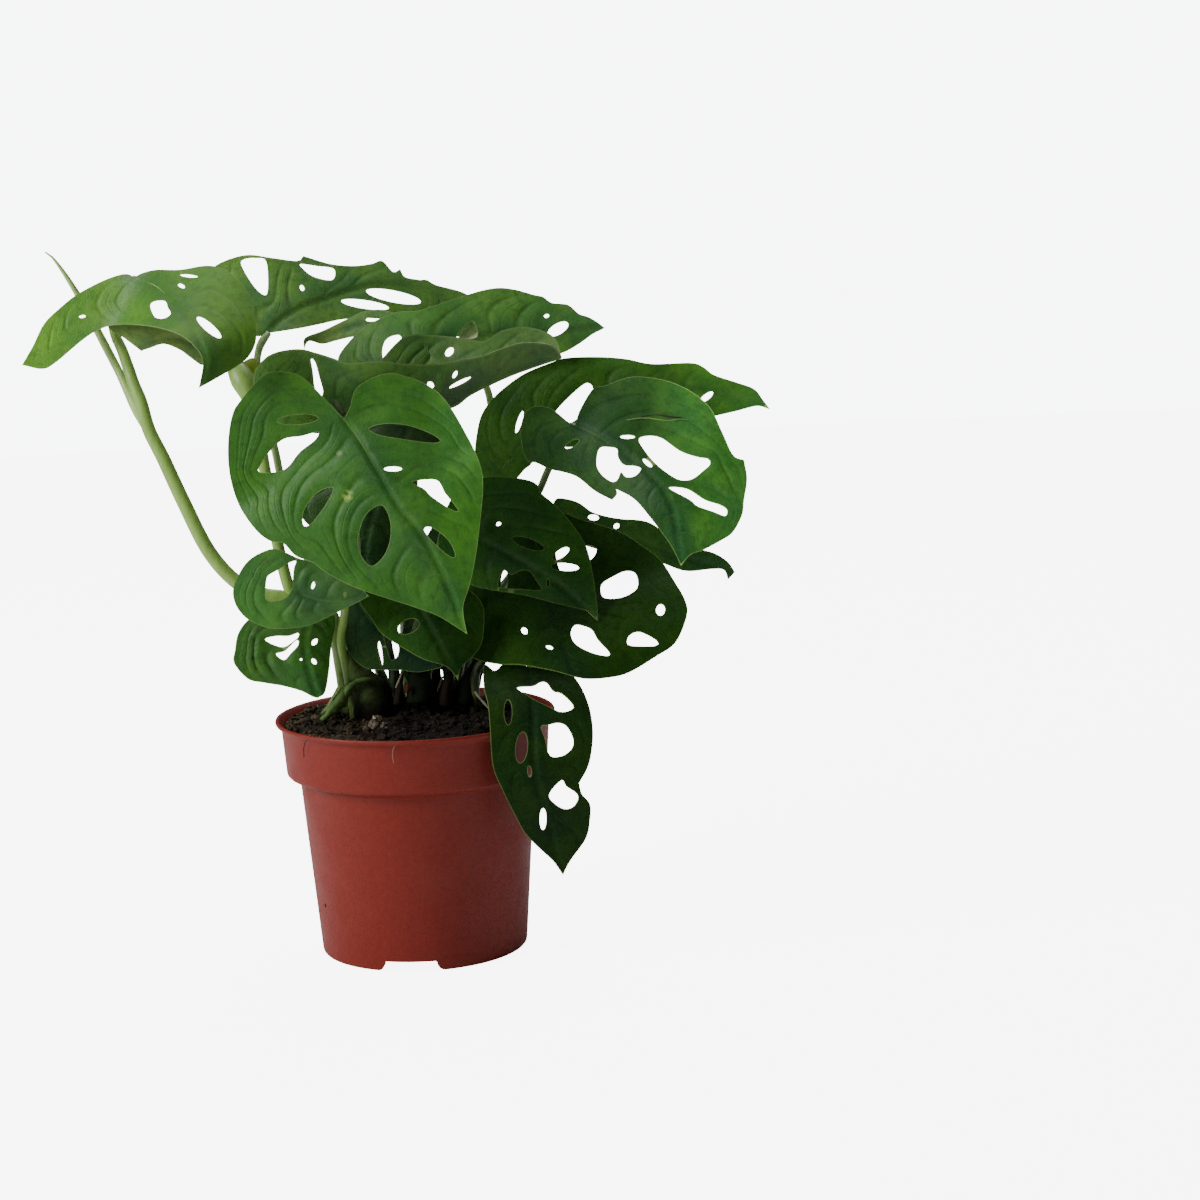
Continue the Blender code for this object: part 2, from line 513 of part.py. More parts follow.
def fill_points(outline, holes, rib):
    """Points of an even triangular grid inside an outline, clear of its edges."""
    lines = outline + rib + [point for hole in holes for point in hole]
    left = min(point.x for point in outline)
    right = max(point.x for point in outline)
    top = min(point.y for point in outline)
    bottom = max(point.y for point in outline)
    row_step = INNER_STEP * sqrt(3) / 2
    points = []
    for row in range(int((bottom - top) / row_step) + 1):
        shift = INNER_STEP / 2 * (row % 2)
        for column in range(int((right - left) / INNER_STEP) + 1):
            point = Vector((left + shift + column * INNER_STEP, top + row * row_step))
            if inside(point, outline) and not any(inside(point, hole) for hole in holes):
                if nearness(point, lines) > 0.5 * INNER_STEP:
                    points.append(point)
    return points


def blade_depth(point, rib, slope, crease):
    """Depth of a blade at a flat point, from its midrib and the slopes on either side."""
    spans = [(point - other.xy).length for other in rib]
    nearest = min(range(len(rib)), key=lambda i: spans[i])
    least = spans[nearest]
    weights = [exp((least ** 2 - span ** 2) / FOLLOW ** 2) for span in spans]
    depth = sum(w * other.z for w, other in zip(weights, rib)) / sum(weights)
    if least < 1e-6:
        return depth
    ahead = (rib[min(nearest + 1, len(rib) - 1)].xy - rib[max(nearest - 1, 0)].xy).normalized()
    side = ahead.cross((point - rib[nearest].xy) / least)
    away = least / UNITS_PER_MM
    away = sqrt(away ** 2 + crease ** 2) - crease
    lifts = [rate * reach * tanh(away / reach) for rate, reach in slope]
    return depth + (lifts[0] * (1 + side) + lifts[1] * (1 - side)) / 2


def fill_sheet(flat, rings, rib_edges, outline, holes):
    """Triangles that fill an outline but not its holes."""
    edges = list(rib_edges)
    start = 0
    for ring in rings:
        count = len(ring)
        edges += [(start + i, start + (i + 1) % count) for i in range(count)]
        start += count
    points, _, faces, _, _, _ = geometry.delaunay_2d_cdt(flat, edges, [], 1, 1e-4)
    kept = []
    for face in faces:
        centre = sum((points[i] for i in face), Vector((0.0, 0.0))) / len(face)
        if inside(centre, outline) and not any(inside(centre, hole) for hole in holes):
            kept.append(face)
    return points, kept


def add_sheet(sheet_mesh, outline, holes, rib, slope, crease):
    """Add one filled sheet with its holes to a bmesh."""
    inner_rib = [point.xy for point in rib[1:-1]]
    inner_rib = [point for point in inner_rib if nearness(point, outline) > 1.0]
    rings = [outline] + holes
    flat = [point for ring in rings for point in ring]
    first = len(flat)
    flat += inner_rib
    rib_edges = [(first + i, first + i + 1) for i in range(len(inner_rib) - 1)]
    flat += fill_points(outline, holes, inner_rib)
    points, faces = fill_sheet(flat, rings, rib_edges, outline, holes)
    verts = [sheet_mesh.verts.new(spot(p.x, p.y, blade_depth(p, rib, slope, crease)))
             for p in points]
    for face in faces:
        sheet_mesh.faces.new([verts[i] for i in face])
    loose = [vert for vert in verts if not vert.link_faces]
    bmesh.ops.delete(sheet_mesh, geom=loose, context="VERTS")


def make_blade(name, leaf, collection, material):
    """One leaf blade: a waved sheet with its holes, given its thickness."""
    rib = smooth_run([Vector(point) for point in leaf["mid"]], EDGE_STEP)
    sheet = bmesh.new()
    if "halves" in leaf:
        for half in leaf["halves"]:
            edge = smooth_run([Vector(point[:2]) for point in half["edge"]], EDGE_STEP)
            outline = [point.xy for point in rib] + edge[1:-1]
            holes = [hole_ring(hole) for hole in half["holes"]]
            add_sheet(sheet, outline, holes, rib, half["slope"], 0.0)
    else:
        outline = closed_outline(leaf["edge"], EDGE_STEP)
        holes = [hole_ring(hole) for hole in leaf["holes"]]
        add_sheet(sheet, outline, holes, rib, leaf["slope"], CREASE)
    bmesh.ops.remove_doubles(sheet, verts=sheet.verts, dist=0.00005)
    bmesh.ops.recalc_face_normals(sheet, faces=sheet.faces)
    mesh = bpy.data.meshes.new(name)
    sheet.to_mesh(mesh)
    sheet.free()
    obj = make_object(name, mesh, collection, material)
    shell = obj.modifiers.new("thickness", "SOLIDIFY")
    shell.thickness = BLADE_THICKNESS * MM
    shell.offset = 0.0
    shell.use_even_offset = True
    return shade(apply_modifiers(obj))


def make_tube(name, points, radii, collection, material):
    """A round tube with closed ends along a smooth line."""
    curve = bpy.data.curves.new(name, "CURVE")
    curve.dimensions = "3D"
    curve.bevel_depth = MM
    curve.bevel_resolution = STALK_SIDES_RESOLUTION
    curve.use_fill_caps = True
    spline = curve.splines.new("POLY")
    spline.points.add(len(points) - 1)
    for point, place, radius in zip(spline.points, points, radii):
        point.co = (*place, 1.0)
        point.radius = radius
    bent = make_object(name + "_line", curve, collection)
    bpy.context.view_layer.update()
    graph = bpy.context.evaluated_depsgraph_get()
    mesh = bpy.data.meshes.new_from_object(bent.evaluated_get(graph))
    bpy.data.objects.remove(bent)
    weld = bmesh.new()
    weld.from_mesh(mesh)
    bmesh.ops.remove_doubles(weld, verts=weld.verts, dist=0.00005)
    bmesh.ops.recalc_face_normals(weld, faces=weld.faces)
    weld.to_mesh(mesh)
    weld.free()
    return make_object(name, mesh, collection, material)


def stalk_line(leaf, behind):
    """Even points of a leaf's stalk, from its foot to a distance in mm behind the blade."""
    rib = smooth_run([Vector(point) for point in leaf["mid"]], EDGE_STEP)
    base = rib[0].xy
    ways = [spot(*place) for place in leaf["stalk"]]
    ways.append(spot(base.x, base.y, blade_depth(base, rib, ((0, 1), (0, 1)), CREASE) + behind))
    if "root" not in leaf:
        return smooth_run(ways, STALK_STEP * MM)
    across, back = leaf["root"]
    foot = [Vector((across, back, height)) * MM for height in (STALK_FOOT, STALK_STRAIGHT_TOP)]
    return foot[:1] + smooth_run(foot[1:] + ways, STALK_STEP * MM)


def stalk_radii(name, leaf, line):
    """Radius in mm at each point of a stalk, with its sheath if it has one."""
    thick, thin = STALK_RADII.get(name, PLAIN_STALK_RADII)
    last = len(line) - 1
    radii = [thick + (thin - thick) * (i / last) ** STALK_TAPER for i in range(len(line))]
    if "root" in leaf:
        rises = [max(0.0, point.z / MM - SOIL_EDGE) for point in line]
        swell = leaf.get("swell", BASE_SWELL)
        radii = [radius + swell * exp(-(rise / BASE_REACH) ** 2)
                 for radius, rise in zip(radii, rises)]
    if "sheath" in leaf:
        *place, swell, spread = leaf["sheath"]
        away = [(point - spot(*place)).length / MM for point in line]
        radii = [radius + swell * exp(-(span / spread) ** 2) for radius, span in zip(radii, away)]
    return radii


def make_stalk(name, leaf, blade, collection, material):
    """One leaf stalk, thinner toward its blade, whose top end is seated just behind it."""
    surface = BVHTree.FromPolygons([vert.co for vert in blade.data.vertices],
                                   [face.vertices for face in blade.data.polygons])
    behind = BLADE_GAP
    clear = -1.0
    while clear < BLADE_GAP and behind < SEAT_LAST:
        behind += SEAT_STEP
        line = stalk_line(leaf, behind)
        radii = stalk_radii(name, leaf, line)
        spans = [surface.find_nearest(point)[3] / MM for point in line]
        clear = min(span - radius for span, radius in zip(spans[:-1], radii))
        clear = min(clear, spans[-1] - radii[-1] * SEAT_TILT)
    return shade(make_tube(name.replace("leaf", "stalk"), line, radii, collection, material))


def join_solids(target, tool):
    """Fuse one solid into another."""
    cut = target.modifiers.new("fuse", "BOOLEAN")
    cut.operation = "UNION"
    cut.solver = "EXACT"
    cut.object = tool
    apply_modifiers(target)
    bpy.data.objects.remove(tool)


def add_branch(long_stalk, points, collection):
    """A branch fused into the long stalk that it grows from."""
    places = [spot(*point[:3]) for point in points]
    radii = [point[3] for point in points]
    branch = make_tube("branch", places, radii, collection, None)
    join_solids(long_stalk, branch)


def turned_solid(name, profile, steps, collection, material):
    """A solid turned about the Z axis from a profile of (radius, height) in mm."""
    mesh = bpy.data.meshes.new(name)
    places = [(radius * MM, 0.0, height * MM) for radius, height in profile]
    mesh.from_pydata(places, [(i, i + 1) for i in range(len(places) - 1)], [])
    obj = make_object(name, mesh, collection, material)
    turn = obj.modifiers.new("turn", "SCREW")
    turn.axis = "Z"
    turn.steps = steps
    turn.render_steps = steps
    turn.use_merge_vertices = True
    turn.merge_threshold = 0.00005
    apply_modifiers(obj)
    weld = bmesh.new()
    weld.from_mesh(obj.data)
    bmesh.ops.recalc_face_normals(weld, faces=weld.faces)
    weld.to_mesh(obj.data)
    weld.free()
    return obj


def inner_radius(height):
    """Radius of the pot's inside at a height above its foot."""
    shoulder = COLLAR_BOTTOM - SHOULDER_DROP
    if height > COLLAR_BOTTOM:
        return COLLAR_BOTTOM_RADIUS - WALL
    rise = min(1.0, height / shoulder)
    return FOOT_RADIUS + (BODY_TOP_RADIUS - FOOT_RADIUS) * rise - WALL


def make_pot(collection, cutters, material):
    """The thin plastic pot with its lip, collar, raised floor and notched foot."""
    shoulder = COLLAR_BOTTOM - SHOULDER_DROP
    lip_bottom = POT_HEIGHT - LIP_HEIGHT
    profile = [
        (0.0, FLOOR_TOP),
        (inner_radius(FLOOR_TOP), FLOOR_TOP),
        (inner_radius(shoulder), shoulder + ROUNDING),
        (inner_radius(POT_HEIGHT), COLLAR_BOTTOM + ROUNDING),
        (COLLAR_TOP_RADIUS - WALL, lip_bottom),
        (RIM_RADIUS - WALL, POT_HEIGHT),
        (RIM_RADIUS - ROUNDING, POT_HEIGHT),
        (RIM_RADIUS, POT_HEIGHT - ROUNDING),
        (RIM_RADIUS - ROUNDING, lip_bottom + ROUNDING),
        (COLLAR_TOP_RADIUS, lip_bottom - ROUNDING),
        (COLLAR_BOTTOM_RADIUS, COLLAR_BOTTOM),
        (COLLAR_BOTTOM_RADIUS - COLLAR_STEP / 2, COLLAR_BOTTOM - COLLAR_STEP),
        (BODY_TOP_RADIUS, shoulder),
        (FOOT_RADIUS, FOOT_ROUNDING),
        (FOOT_RADIUS - FOOT_ROUNDING / 2, 0.0),
        (FOOT_RADIUS - FOOT_RING, 0.0),
        (FOOT_RADIUS - FOOT_RING, FLOOR_UNDERSIDE),
        (0.0, FLOOR_UNDERSIDE),
    ]
    pot = turned_solid("pot", profile, POT_SIDES, collection, material)
    for i in range(NOTCH_COUNT):
        turn = NOTCH_TURN + 2 * pi * i / NOTCH_COUNT
        cut = pot.modifiers.new("notch", "BOOLEAN")
        cut.operation = "DIFFERENCE"
        cut.solver = "EXACT"
        cut.object = make_notch(turn, cutters)
    return shade(apply_modifiers(pot))


def make_notch(turn, cutters):
    """Cutter for one notch in the pot's foot, wider at the bottom."""
    height = NOTCH_HEIGHT + NOTCH_DEPTH_BELOW
    middle = (NOTCH_HEIGHT - NOTCH_DEPTH_BELOW) / 2
    place = Vector((FOOT_RADIUS * cos(turn), FOOT_RADIUS * sin(turn), middle)) * MM
    bpy.ops.mesh.primitive_cube_add(size=MM, location=place, rotation=(0.0, 0.0, turn))
    notch = bpy.context.object
    notch.name = "notch"
    for vert in notch.data.vertices:
        width = NOTCH_WIDTH if vert.co.z > 0 else NOTCH_WIDTH + 2 * NOTCH_FLARE
        vert.co = (vert.co.x * NOTCH_REACH, vert.co.y * width, vert.co.z * height)
    return move_to_cutters(notch, cutters)


def move_to_cutters(obj, cutters):
    """Put a cutter among the others, seen only as a wire."""
    for collection in list(obj.users_collection):
        collection.objects.unlink(obj)
    cutters.objects.link(obj)
    obj.hide_render = True
    obj.display_type = "WIRE"
    return obj


def soil_height(across, back):
    """Height of the soil's lumpy top, in mm."""
    reach = hypot(across, back) / COLLAR_TOP_RADIUS
    lump = noise.noise(Vector((across, back, 0.0)) / SOIL_LUMP_SIZE)
    return SOIL_EDGE + SOIL_CROWN * (1 - reach ** 2) + SOIL_LUMPS * lump


def make_soil(collection, cutters, material):
    """The soil that fills the pot, with a plain hole for each stalk."""
    shoulder = COLLAR_BOTTOM - SHOULDER_DROP
    bottom = FLOOR_TOP + SOIL_GAP
    edge = inner_radius(SOIL_EDGE) - SOIL_GAP
    profile = [(edge * i / SOIL_RINGS, SOIL_EDGE) for i in range(SOIL_RINGS + 1)]
    profile += [
        (edge, COLLAR_BOTTOM + 2 * ROUNDING),
        (inner_radius(shoulder) - SOIL_GAP, shoulder + 2 * ROUNDING),
        (inner_radius(bottom) - SOIL_GAP, bottom),
        (0.0, bottom),
    ]
    soil = turned_solid("soil", profile, POT_SIDES, collection, material)
    for vert in soil.data.vertices:
        if vert.co.z > (SOIL_EDGE - 1.0) * MM:
            vert.co.z = soil_height(vert.co.x / MM, vert.co.y / MM) * MM
    soil.modifiers.new("split", "TRIANGULATE")
    rooted = [(name, leaf) for name, leaf in LEAVES.items() if "root" in leaf]
    for name, leaf in rooted:
        swell = leaf.get("swell", BASE_SWELL)
        radius = STALK_RADII.get(name, PLAIN_STALK_RADII)[0] + swell + HOLE_GAP
        cut = soil.modifiers.new("hole", "BOOLEAN")
        cut.operation = "DIFFERENCE"
        cut.solver = "EXACT"
        cut.object = make_peg(leaf["root"], radius, cutters)
    return shade(apply_modifiers(soil))


def make_peg(root, radius, cutters):
    """Cutter for the hole that one stalk stands in."""
    low = STALK_FOOT - HOLE_GAP
    high = STALK_STRAIGHT_TOP + PEG_ABOVE
    place = Vector((root[0], root[1], (low + high) / 2)) * MM
    bpy.ops.mesh.primitive_cylinder_add(vertices=PEG_SIDES, radius=radius / cos(pi / PEG_SIDES) * MM,
                                        depth=(high - low) * MM, location=place)
    peg = bpy.context.object
    peg.name = "stalk_hole"
    return move_to_cutters(peg, cutters)


def build():
    """Build every piece of the plant and its pot."""
    for obj in list(bpy.data.objects):
        bpy.data.objects.remove(obj)
    parts = make_collection("monstera_adansonii")
    cutters = make_collection("cutters")
    make_pot(parts, cutters, make_material("terracotta_plastic", TERRACOTTA, 0.45))
    make_soil(parts, cutters, make_material("peat", PEAT, 0.95))
    for name, leaf in LEAVES.items():
        green = make_material(name, leaf["colour"], 0.35)
        blade = make_blade(name, leaf, parts, green)
        stalk_green = make_material(name.replace("leaf", "stalk"), STALK_GREEN, 0.45)
        stalk = make_stalk(name, leaf, blade, parts, stalk_green)
        if name == "leaf_top_left":
            add_branch(stalk, NEW_LEAF, parts)
            add_branch(stalk, AERIAL_ROOT, parts)


build()
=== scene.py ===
"""The looks of a monstera adansonii in its nursery pot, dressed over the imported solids."""

from math import cos, exp, pi, radians, sin, sqrt

import bpy
import numpy as np
from mathutils import Matrix, Vector, geometry, noise


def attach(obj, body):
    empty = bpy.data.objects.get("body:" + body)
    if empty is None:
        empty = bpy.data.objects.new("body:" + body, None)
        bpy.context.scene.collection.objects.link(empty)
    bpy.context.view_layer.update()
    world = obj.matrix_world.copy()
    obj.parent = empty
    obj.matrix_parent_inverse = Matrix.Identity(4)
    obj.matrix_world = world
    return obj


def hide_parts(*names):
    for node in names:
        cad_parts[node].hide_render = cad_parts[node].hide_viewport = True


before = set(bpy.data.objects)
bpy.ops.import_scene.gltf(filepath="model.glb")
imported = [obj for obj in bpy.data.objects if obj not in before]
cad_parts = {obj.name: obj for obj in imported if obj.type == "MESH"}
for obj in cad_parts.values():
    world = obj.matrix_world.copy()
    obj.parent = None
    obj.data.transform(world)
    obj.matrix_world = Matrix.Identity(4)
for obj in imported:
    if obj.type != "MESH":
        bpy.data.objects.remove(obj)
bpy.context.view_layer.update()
MM = 0.001

# Camera
# The photograph's own view: a long lens 1.1 m in front of the pot and 32 cm above the floor, found
# from the pot's rim and foot. spots() turns points of the picture into places at given depths.
PICTURE_WIDTH = 1200.0
FOCAL_LENGTH = 2600.0
SENSOR = 36.0
CAMERA_AWAY = 1120.0
CAMERA_PLACE = (0.0, -CAMERA_AWAY, 323.0)
CAMERA_DOWN = radians(8.76)
CAMERA_ASIDE = radians(4.22)
CAMERA_ROLL = radians(-1.96)
FORWARD = Vector((sin(CAMERA_ASIDE) * cos(CAMERA_DOWN), cos(CAMERA_ASIDE) * cos(CAMERA_DOWN),
                  -sin(CAMERA_DOWN)))
LEVEL = Vector((cos(CAMERA_ASIDE), -sin(CAMERA_ASIDE), 0.0))
UPRIGHT = LEVEL.cross(FORWARD)
RIGHT = cos(CAMERA_ROLL) * LEVEL + sin(CAMERA_ROLL) * UPRIGHT
UP = cos(CAMERA_ROLL) * UPRIGHT - sin(CAMERA_ROLL) * LEVEL


def spots(points, depths):
    """Places of picture points, each at a depth in mm behind the pot's axis."""
    points = np.asarray(points, float).reshape(-1, 2)
    across = (points[:, :1] - PICTURE_WIDTH / 2) / FOCAL_LENGTH
    up = (PICTURE_WIDTH / 2 - points[:, 1:]) / FOCAL_LENGTH
    rays = np.array(FORWARD) + across * np.array(RIGHT) + up * np.array(UP)
    reach = (CAMERA_AWAY + np.asarray(depths, float).reshape(-1, 1)) / rays[:, 1:2]
    return (np.array(CAMERA_PLACE) + rays * reach) * MM


def linked(name, data):
    """A new object with the given data, put into the scene."""
    made = bpy.data.objects.new(name, data)
    bpy.context.scene.collection.objects.link(made)
    return made


lens = bpy.data.cameras.new("camera")
lens.sensor_width = SENSOR
lens.lens = SENSOR * FOCAL_LENGTH / PICTURE_WIDTH
camera = linked("camera", lens)
turn = Matrix((RIGHT, UP, -FORWARD)).transposed().to_4x4()
camera.matrix_world = Matrix.Translation(Vector(CAMERA_PLACE) * MM) @ turn
bpy.context.scene.camera = camera

# Floor and lights
# A plain pale floor under an even white sky. One broad lamp stands at the front left, where the
# photograph's light comes from, a weak one opposite, one high behind for the leaves' sheen, and a
# wide one over the floor behind. The lamps are square; each row gives place, target, size, power.
FLOOR_SIZE = 5.0
FLOOR_GREY = 0.86
FLOOR_GLOW = 6.8
SKY_WHITE = (0.95, 0.97, 1.0)
SKY_SEEN = 8.0
SKY_LIGHT = 0.05
LAMPS = [("lamp_left", (-1.6, -0.75, 1.15), (0.0, 0.0, 0.15), 1.1, 52.0),
         ("lamp_right", (1.5, 0.2, 0.7), (0.0, 0.0, 0.15), 0.9, 0.7),
         ("lamp_behind", (0.4, 1.1, 1.7), (0.0, 0.0, 0.2), 0.9, 10.0),
         ("lamp_above", (0.0, 1.1, 2.6), (0.0, 1.1, 0.0), 3.0, 42.0)]


def feed(tree, socket, value):
    """Link a socket to the given one, or give it a number or a colour."""
    if isinstance(value, bpy.types.NodeSocket):
        tree.links.new(value, socket)
    elif isinstance(value, tuple):
        socket.default_value = (*value, 1.0)
    else:
        socket.default_value = value


def new_material(name, roughness=0.5, gloss=0.5):
    """A new Principled material, with its node tree and its shader."""
    material = bpy.data.materials.new(name)
    material.use_nodes = True
    shader = material.node_tree.nodes["Principled BSDF"]
    shader.inputs["Roughness"].default_value = roughness
    shader.inputs["Specular IOR Level"].default_value = gloss
    return material, material.node_tree, shader


def seen_level(tree, level, seen):
    """A strength that is one number for the camera and another for the light that falls."""
    path = tree.nodes.new("ShaderNodeLightPath")
    node = tree.nodes.new("ShaderNodeMapRange")
    feed(tree, node.inputs["To Min"], level)
    feed(tree, node.inputs["To Max"], seen)
    feed(tree, node.inputs["Value"], path.outputs["Is Camera Ray"])
    return node.outputs["Result"]


for name, place, target, size, power in LAMPS:
    bpy.ops.object.light_add(type="AREA", location=place)
    lamp = bpy.context.object
    lamp.name = name
    lamp.data.size = size
    lamp.data.energy = power
    lamp.rotation_euler = (Vector(target) - Vector(place)).to_track_quat("-Z", "Y").to_euler()

bpy.ops.object.select_all(action="DESELECT")
bpy.ops.mesh.primitive_plane_add(size=FLOOR_SIZE, location=(0.0, 0.0, 0.0))
floor = bpy.context.object
floor.name = "floor"
pale, tree, shader = new_material("floor_pale", 0.8, 0.0)
feed(tree, shader.inputs["Base Color"], (FLOOR_GREY, FLOOR_GREY, FLOOR_GREY))
feed(tree, shader.inputs["Emission Color"], seen_level(tree, 0.0, FLOOR_GLOW))
feed(tree, shader.inputs["Emission Strength"], 1.0)
floor.data.materials.append(pale)

sky = bpy.data.worlds.new("sky")
sky.use_nodes = True
background = sky.node_tree.nodes["Background"]
feed(sky.node_tree, background.inputs["Strength"], seen_level(sky.node_tree, SKY_LIGHT, SKY_SEEN))
feed(sky.node_tree, background.inputs["Color"], SKY_WHITE)
bpy.context.scene.world = sky

# Pot
# A thin nursery pot of terracotta-coloured plastic, pressed in one piece: a flared lip, a tall
# bare collar over a stepped-in body, a raised floor and a foot ring with three notches.
POT_SIDES = 144
TERRACOTTA = (0.19, 0.017, 0.009)
DUSTY_RED = (0.24, 0.08, 0.055)
POT_PROFILE = [
    (0.5, 7.0), (43.9, 7.0), (44.3, 7.4), (50.0, 78.0), (50.9, 79.4), (54.9, 80.6), (55.6, 81.6),
    (57.1, 100.4), (57.6, 101.6), (59.2, 103.5), (59.7, 103.9), (60.3, 104.0), (60.8, 103.8),
    (61.0, 103.4), (61.0, 102.9), (60.7, 102.3), (59.2, 101.2), (58.6, 100.5), (58.4, 99.6),
    (57.1, 82.0), (57.0, 80.9), (56.8, 80.3), (56.3, 79.8), (55.4, 79.3), (52.4, 78.1),
    (51.6, 77.6), (51.3, 76.6), (45.2, 1.6), (45.0, 0.7), (44.6, 0.2), (44.0, 0.0), (43.0, 0.0),
    (42.6, 0.3), (42.5, 0.8), (42.4, 5.0), (42.1, 5.4), (0.5, 5.4)]
POT_SHARP = radians(40)
NOTCHES = 3
NOTCH_WIDTH = 22.4
NOTCH_HEIGHT = 4.6
NOTCH_ROUND = 4.2
NOTCH_CORNER = 0.5
NOTCH_STEPS = 7
NOTCH_TURN = radians(-98.7)
NOTCH_REACH = 45.1
NOTCH_DEPTH = 7.0
MERGE = 0.00001


def pick(piece):
    """Select one piece alone, as the active one."""
    bpy.ops.object.select_all(action="DESELECT")
    piece.select_set(True)
    bpy.context.view_layer.objects.active = piece


def finished(piece, kind, **settings):
    """Give a piece one modifier with the given settings, and apply it."""
    pick(piece)
    modifier = piece.modifiers.new("finish", kind)
    for setting, value in settings.items():
        setattr(modifier, setting, value)
    bpy.ops.object.modifier_apply(modifier="finish")


def turned_piece(name, profile, sides):
    """A piece turned about the Z axis, drawn out ring by ring from a circle on its axis."""
    bpy.ops.object.select_all(action="DESELECT")
    radius, height = profile[0]
    bpy.ops.mesh.primitive_circle_add(vertices=sides, radius=radius * MM, fill_type="NGON",
                                      location=(0.0, 0.0, height * MM))
    piece = bpy.context.object
    piece.name = name
    bpy.ops.object.transform_apply(location=True, rotation=True, scale=True)
    bpy.ops.object.mode_set(mode="EDIT")
    bpy.ops.mesh.select_all(action="SELECT")
    for next_radius, next_height in profile[1:]:
        bpy.ops.mesh.extrude_region_move()
        bpy.ops.transform.translate(value=(0.0, 0.0, (next_height - height) * MM))
        factor = next_radius / radius
        bpy.ops.transform.resize(value=(factor, factor, 1.0),
                                 center_override=(0.0, 0.0, next_height * MM))
        radius, height = next_radius, next_height
    bpy.ops.mesh.select_all(action="SELECT")
    bpy.ops.mesh.normals_make_consistent(inside=False)
    bpy.ops.object.mode_set(mode="OBJECT")
    return piece


def add_line(curve, places, radii=None):
    """A line of straight steps through places in metres, added to a curve."""
    line = curve.splines.new("POLY")
    line.points.add(len(places) - 1)
    for i, place in enumerate(places):
        line.points[i].co = (*place, 1.0)
        if radii is not None:
            line.points[i].radius = radii[i]
    return line


def welded(piece):
    """A curve made a mesh, its doubles merged and its faces turned outwards."""
    pick(piece)
    bpy.ops.object.convert(target="MESH")
    bpy.ops.object.mode_set(mode="EDIT")
    bpy.ops.mesh.select_all(action="SELECT")
    bpy.ops.mesh.remove_doubles(threshold=MERGE)
    bpy.ops.mesh.normals_make_consistent(inside=False)
    bpy.ops.object.mode_set(mode="OBJECT")
    return bpy.context.object


def scaled(colour, factor):
    """A colour made lighter or darker."""
    return tuple(channel * factor for channel in colour)


def mix_colours(tree, factor, first, second):
    """Mix of two colours by a factor socket."""
    mix = tree.nodes.new("ShaderNodeMix")
    mix.data_type = "RGBA"
    for socket, value in (("Factor", factor), ("A", first), ("B", second)):
        feed(tree, mix.inputs[socket], value)
    return [out for out in mix.outputs if out.type == "RGBA"][0]


def mapped(tree, value, low, high, to_low, to_high):
    """A value mapped smoothly from one range to another."""
    node = tree.nodes.new("ShaderNodeMapRange")
    node.interpolation_type = "SMOOTHSTEP"
    for socket, given in (("Value", value), ("From Min", low), ("From Max", high),
                          ("To Min", to_low), ("To Max", to_high)):
        feed(tree, node.inputs[socket], given)
    return node.outputs["Result"]


def worked(tree, kind, first, second):
    """A sum or product of a socket with another socket or a number."""
    node = tree.nodes.new("ShaderNodeMath")
    node.operation = kind
    feed(tree, node.inputs[0], first)
    feed(tree, node.inputs[1], second)
    return node.outputs["Value"]


def grain(tree, scale, detail, stretch=(1.0, 1.0, 1.0)):
    """Noise on the object's own coordinates."""
    place = tree.nodes.new("ShaderNodeTexCoord")
    move = tree.nodes.new("ShaderNodeMapping")
    move.inputs["Scale"].default_value = stretch
    node = tree.nodes.new("ShaderNodeTexNoise")
    node.inputs["Scale"].default_value = scale
    node.inputs["Detail"].default_value = detail
    tree.links.new(place.outputs["Object"], move.inputs["Vector"])
    tree.links.new(move.outputs["Vector"], node.inputs["Vector"])
    return node.outputs["Fac"]


def patches(tree, scale, detail, low, high, share=1.0):
    """Soft-edged patches of noise, from nothing up to a share."""
    return mapped(tree, grain(tree, scale, detail), low, high, 0.0, share)


def bumped(tree, height, distance):
    """Join a height socket to the shader as a bump of that distance in metres."""
    bump = tree.nodes.new("ShaderNodeBump")
    bump.inputs["Distance"].default_value = distance
    tree.links.new(height, bump.inputs["Height"])
    tree.links.new(bump.outputs["Normal"], tree.nodes["Principled BSDF"].inputs["Normal"])


pot = turned_piece("new_pot", POT_PROFILE, POT_SIDES)
notch_side = [(NOTCH_WIDTH / 2 + NOTCH_ROUND, -1.0)]
for i in range(NOTCH_STEPS + 1):
    turn = pi / 2 * i / NOTCH_STEPS
    notch_side.append((NOTCH_WIDTH / 2 + NOTCH_ROUND * (1 - sin(turn)),
                       NOTCH_ROUND * (1 - cos(turn))))
notch_side += [(NOTCH_WIDTH / 2, NOTCH_HEIGHT - NOTCH_CORNER),
               (NOTCH_WIDTH / 2 - NOTCH_CORNER, NOTCH_HEIGHT)]
notch_side += [(-across, height) for across, height in reversed(notch_side)]
for i in range(NOTCHES):
    outline = bpy.data.curves.new("notch", "CURVE")
    outline.dimensions = "2D"
    outline.fill_mode = "BOTH"
    outline.extrude = NOTCH_DEPTH * MM
    add_line(outline, [(across * MM, height * MM, 0.0) for across, height in notch_side])
    outline.splines[0].use_cyclic_u = True
    notch = linked("notch", outline)
    angle = NOTCH_TURN + 2 * pi * i / NOTCHES
    notch.location = Vector((NOTCH_REACH * cos(angle), NOTCH_REACH * sin(angle), 0.0)) * MM
    notch.rotation_euler = (pi / 2, 0.0, angle + pi / 2)
    notch = welded(notch)
    finished(pot, "BOOLEAN", operation="DIFFERENCE", solver="EXACT", object=notch)
    bpy.data.objects.remove(notch)
pick(pot)
bpy.ops.object.shade_smooth_by_angle(angle=POT_SHARP)

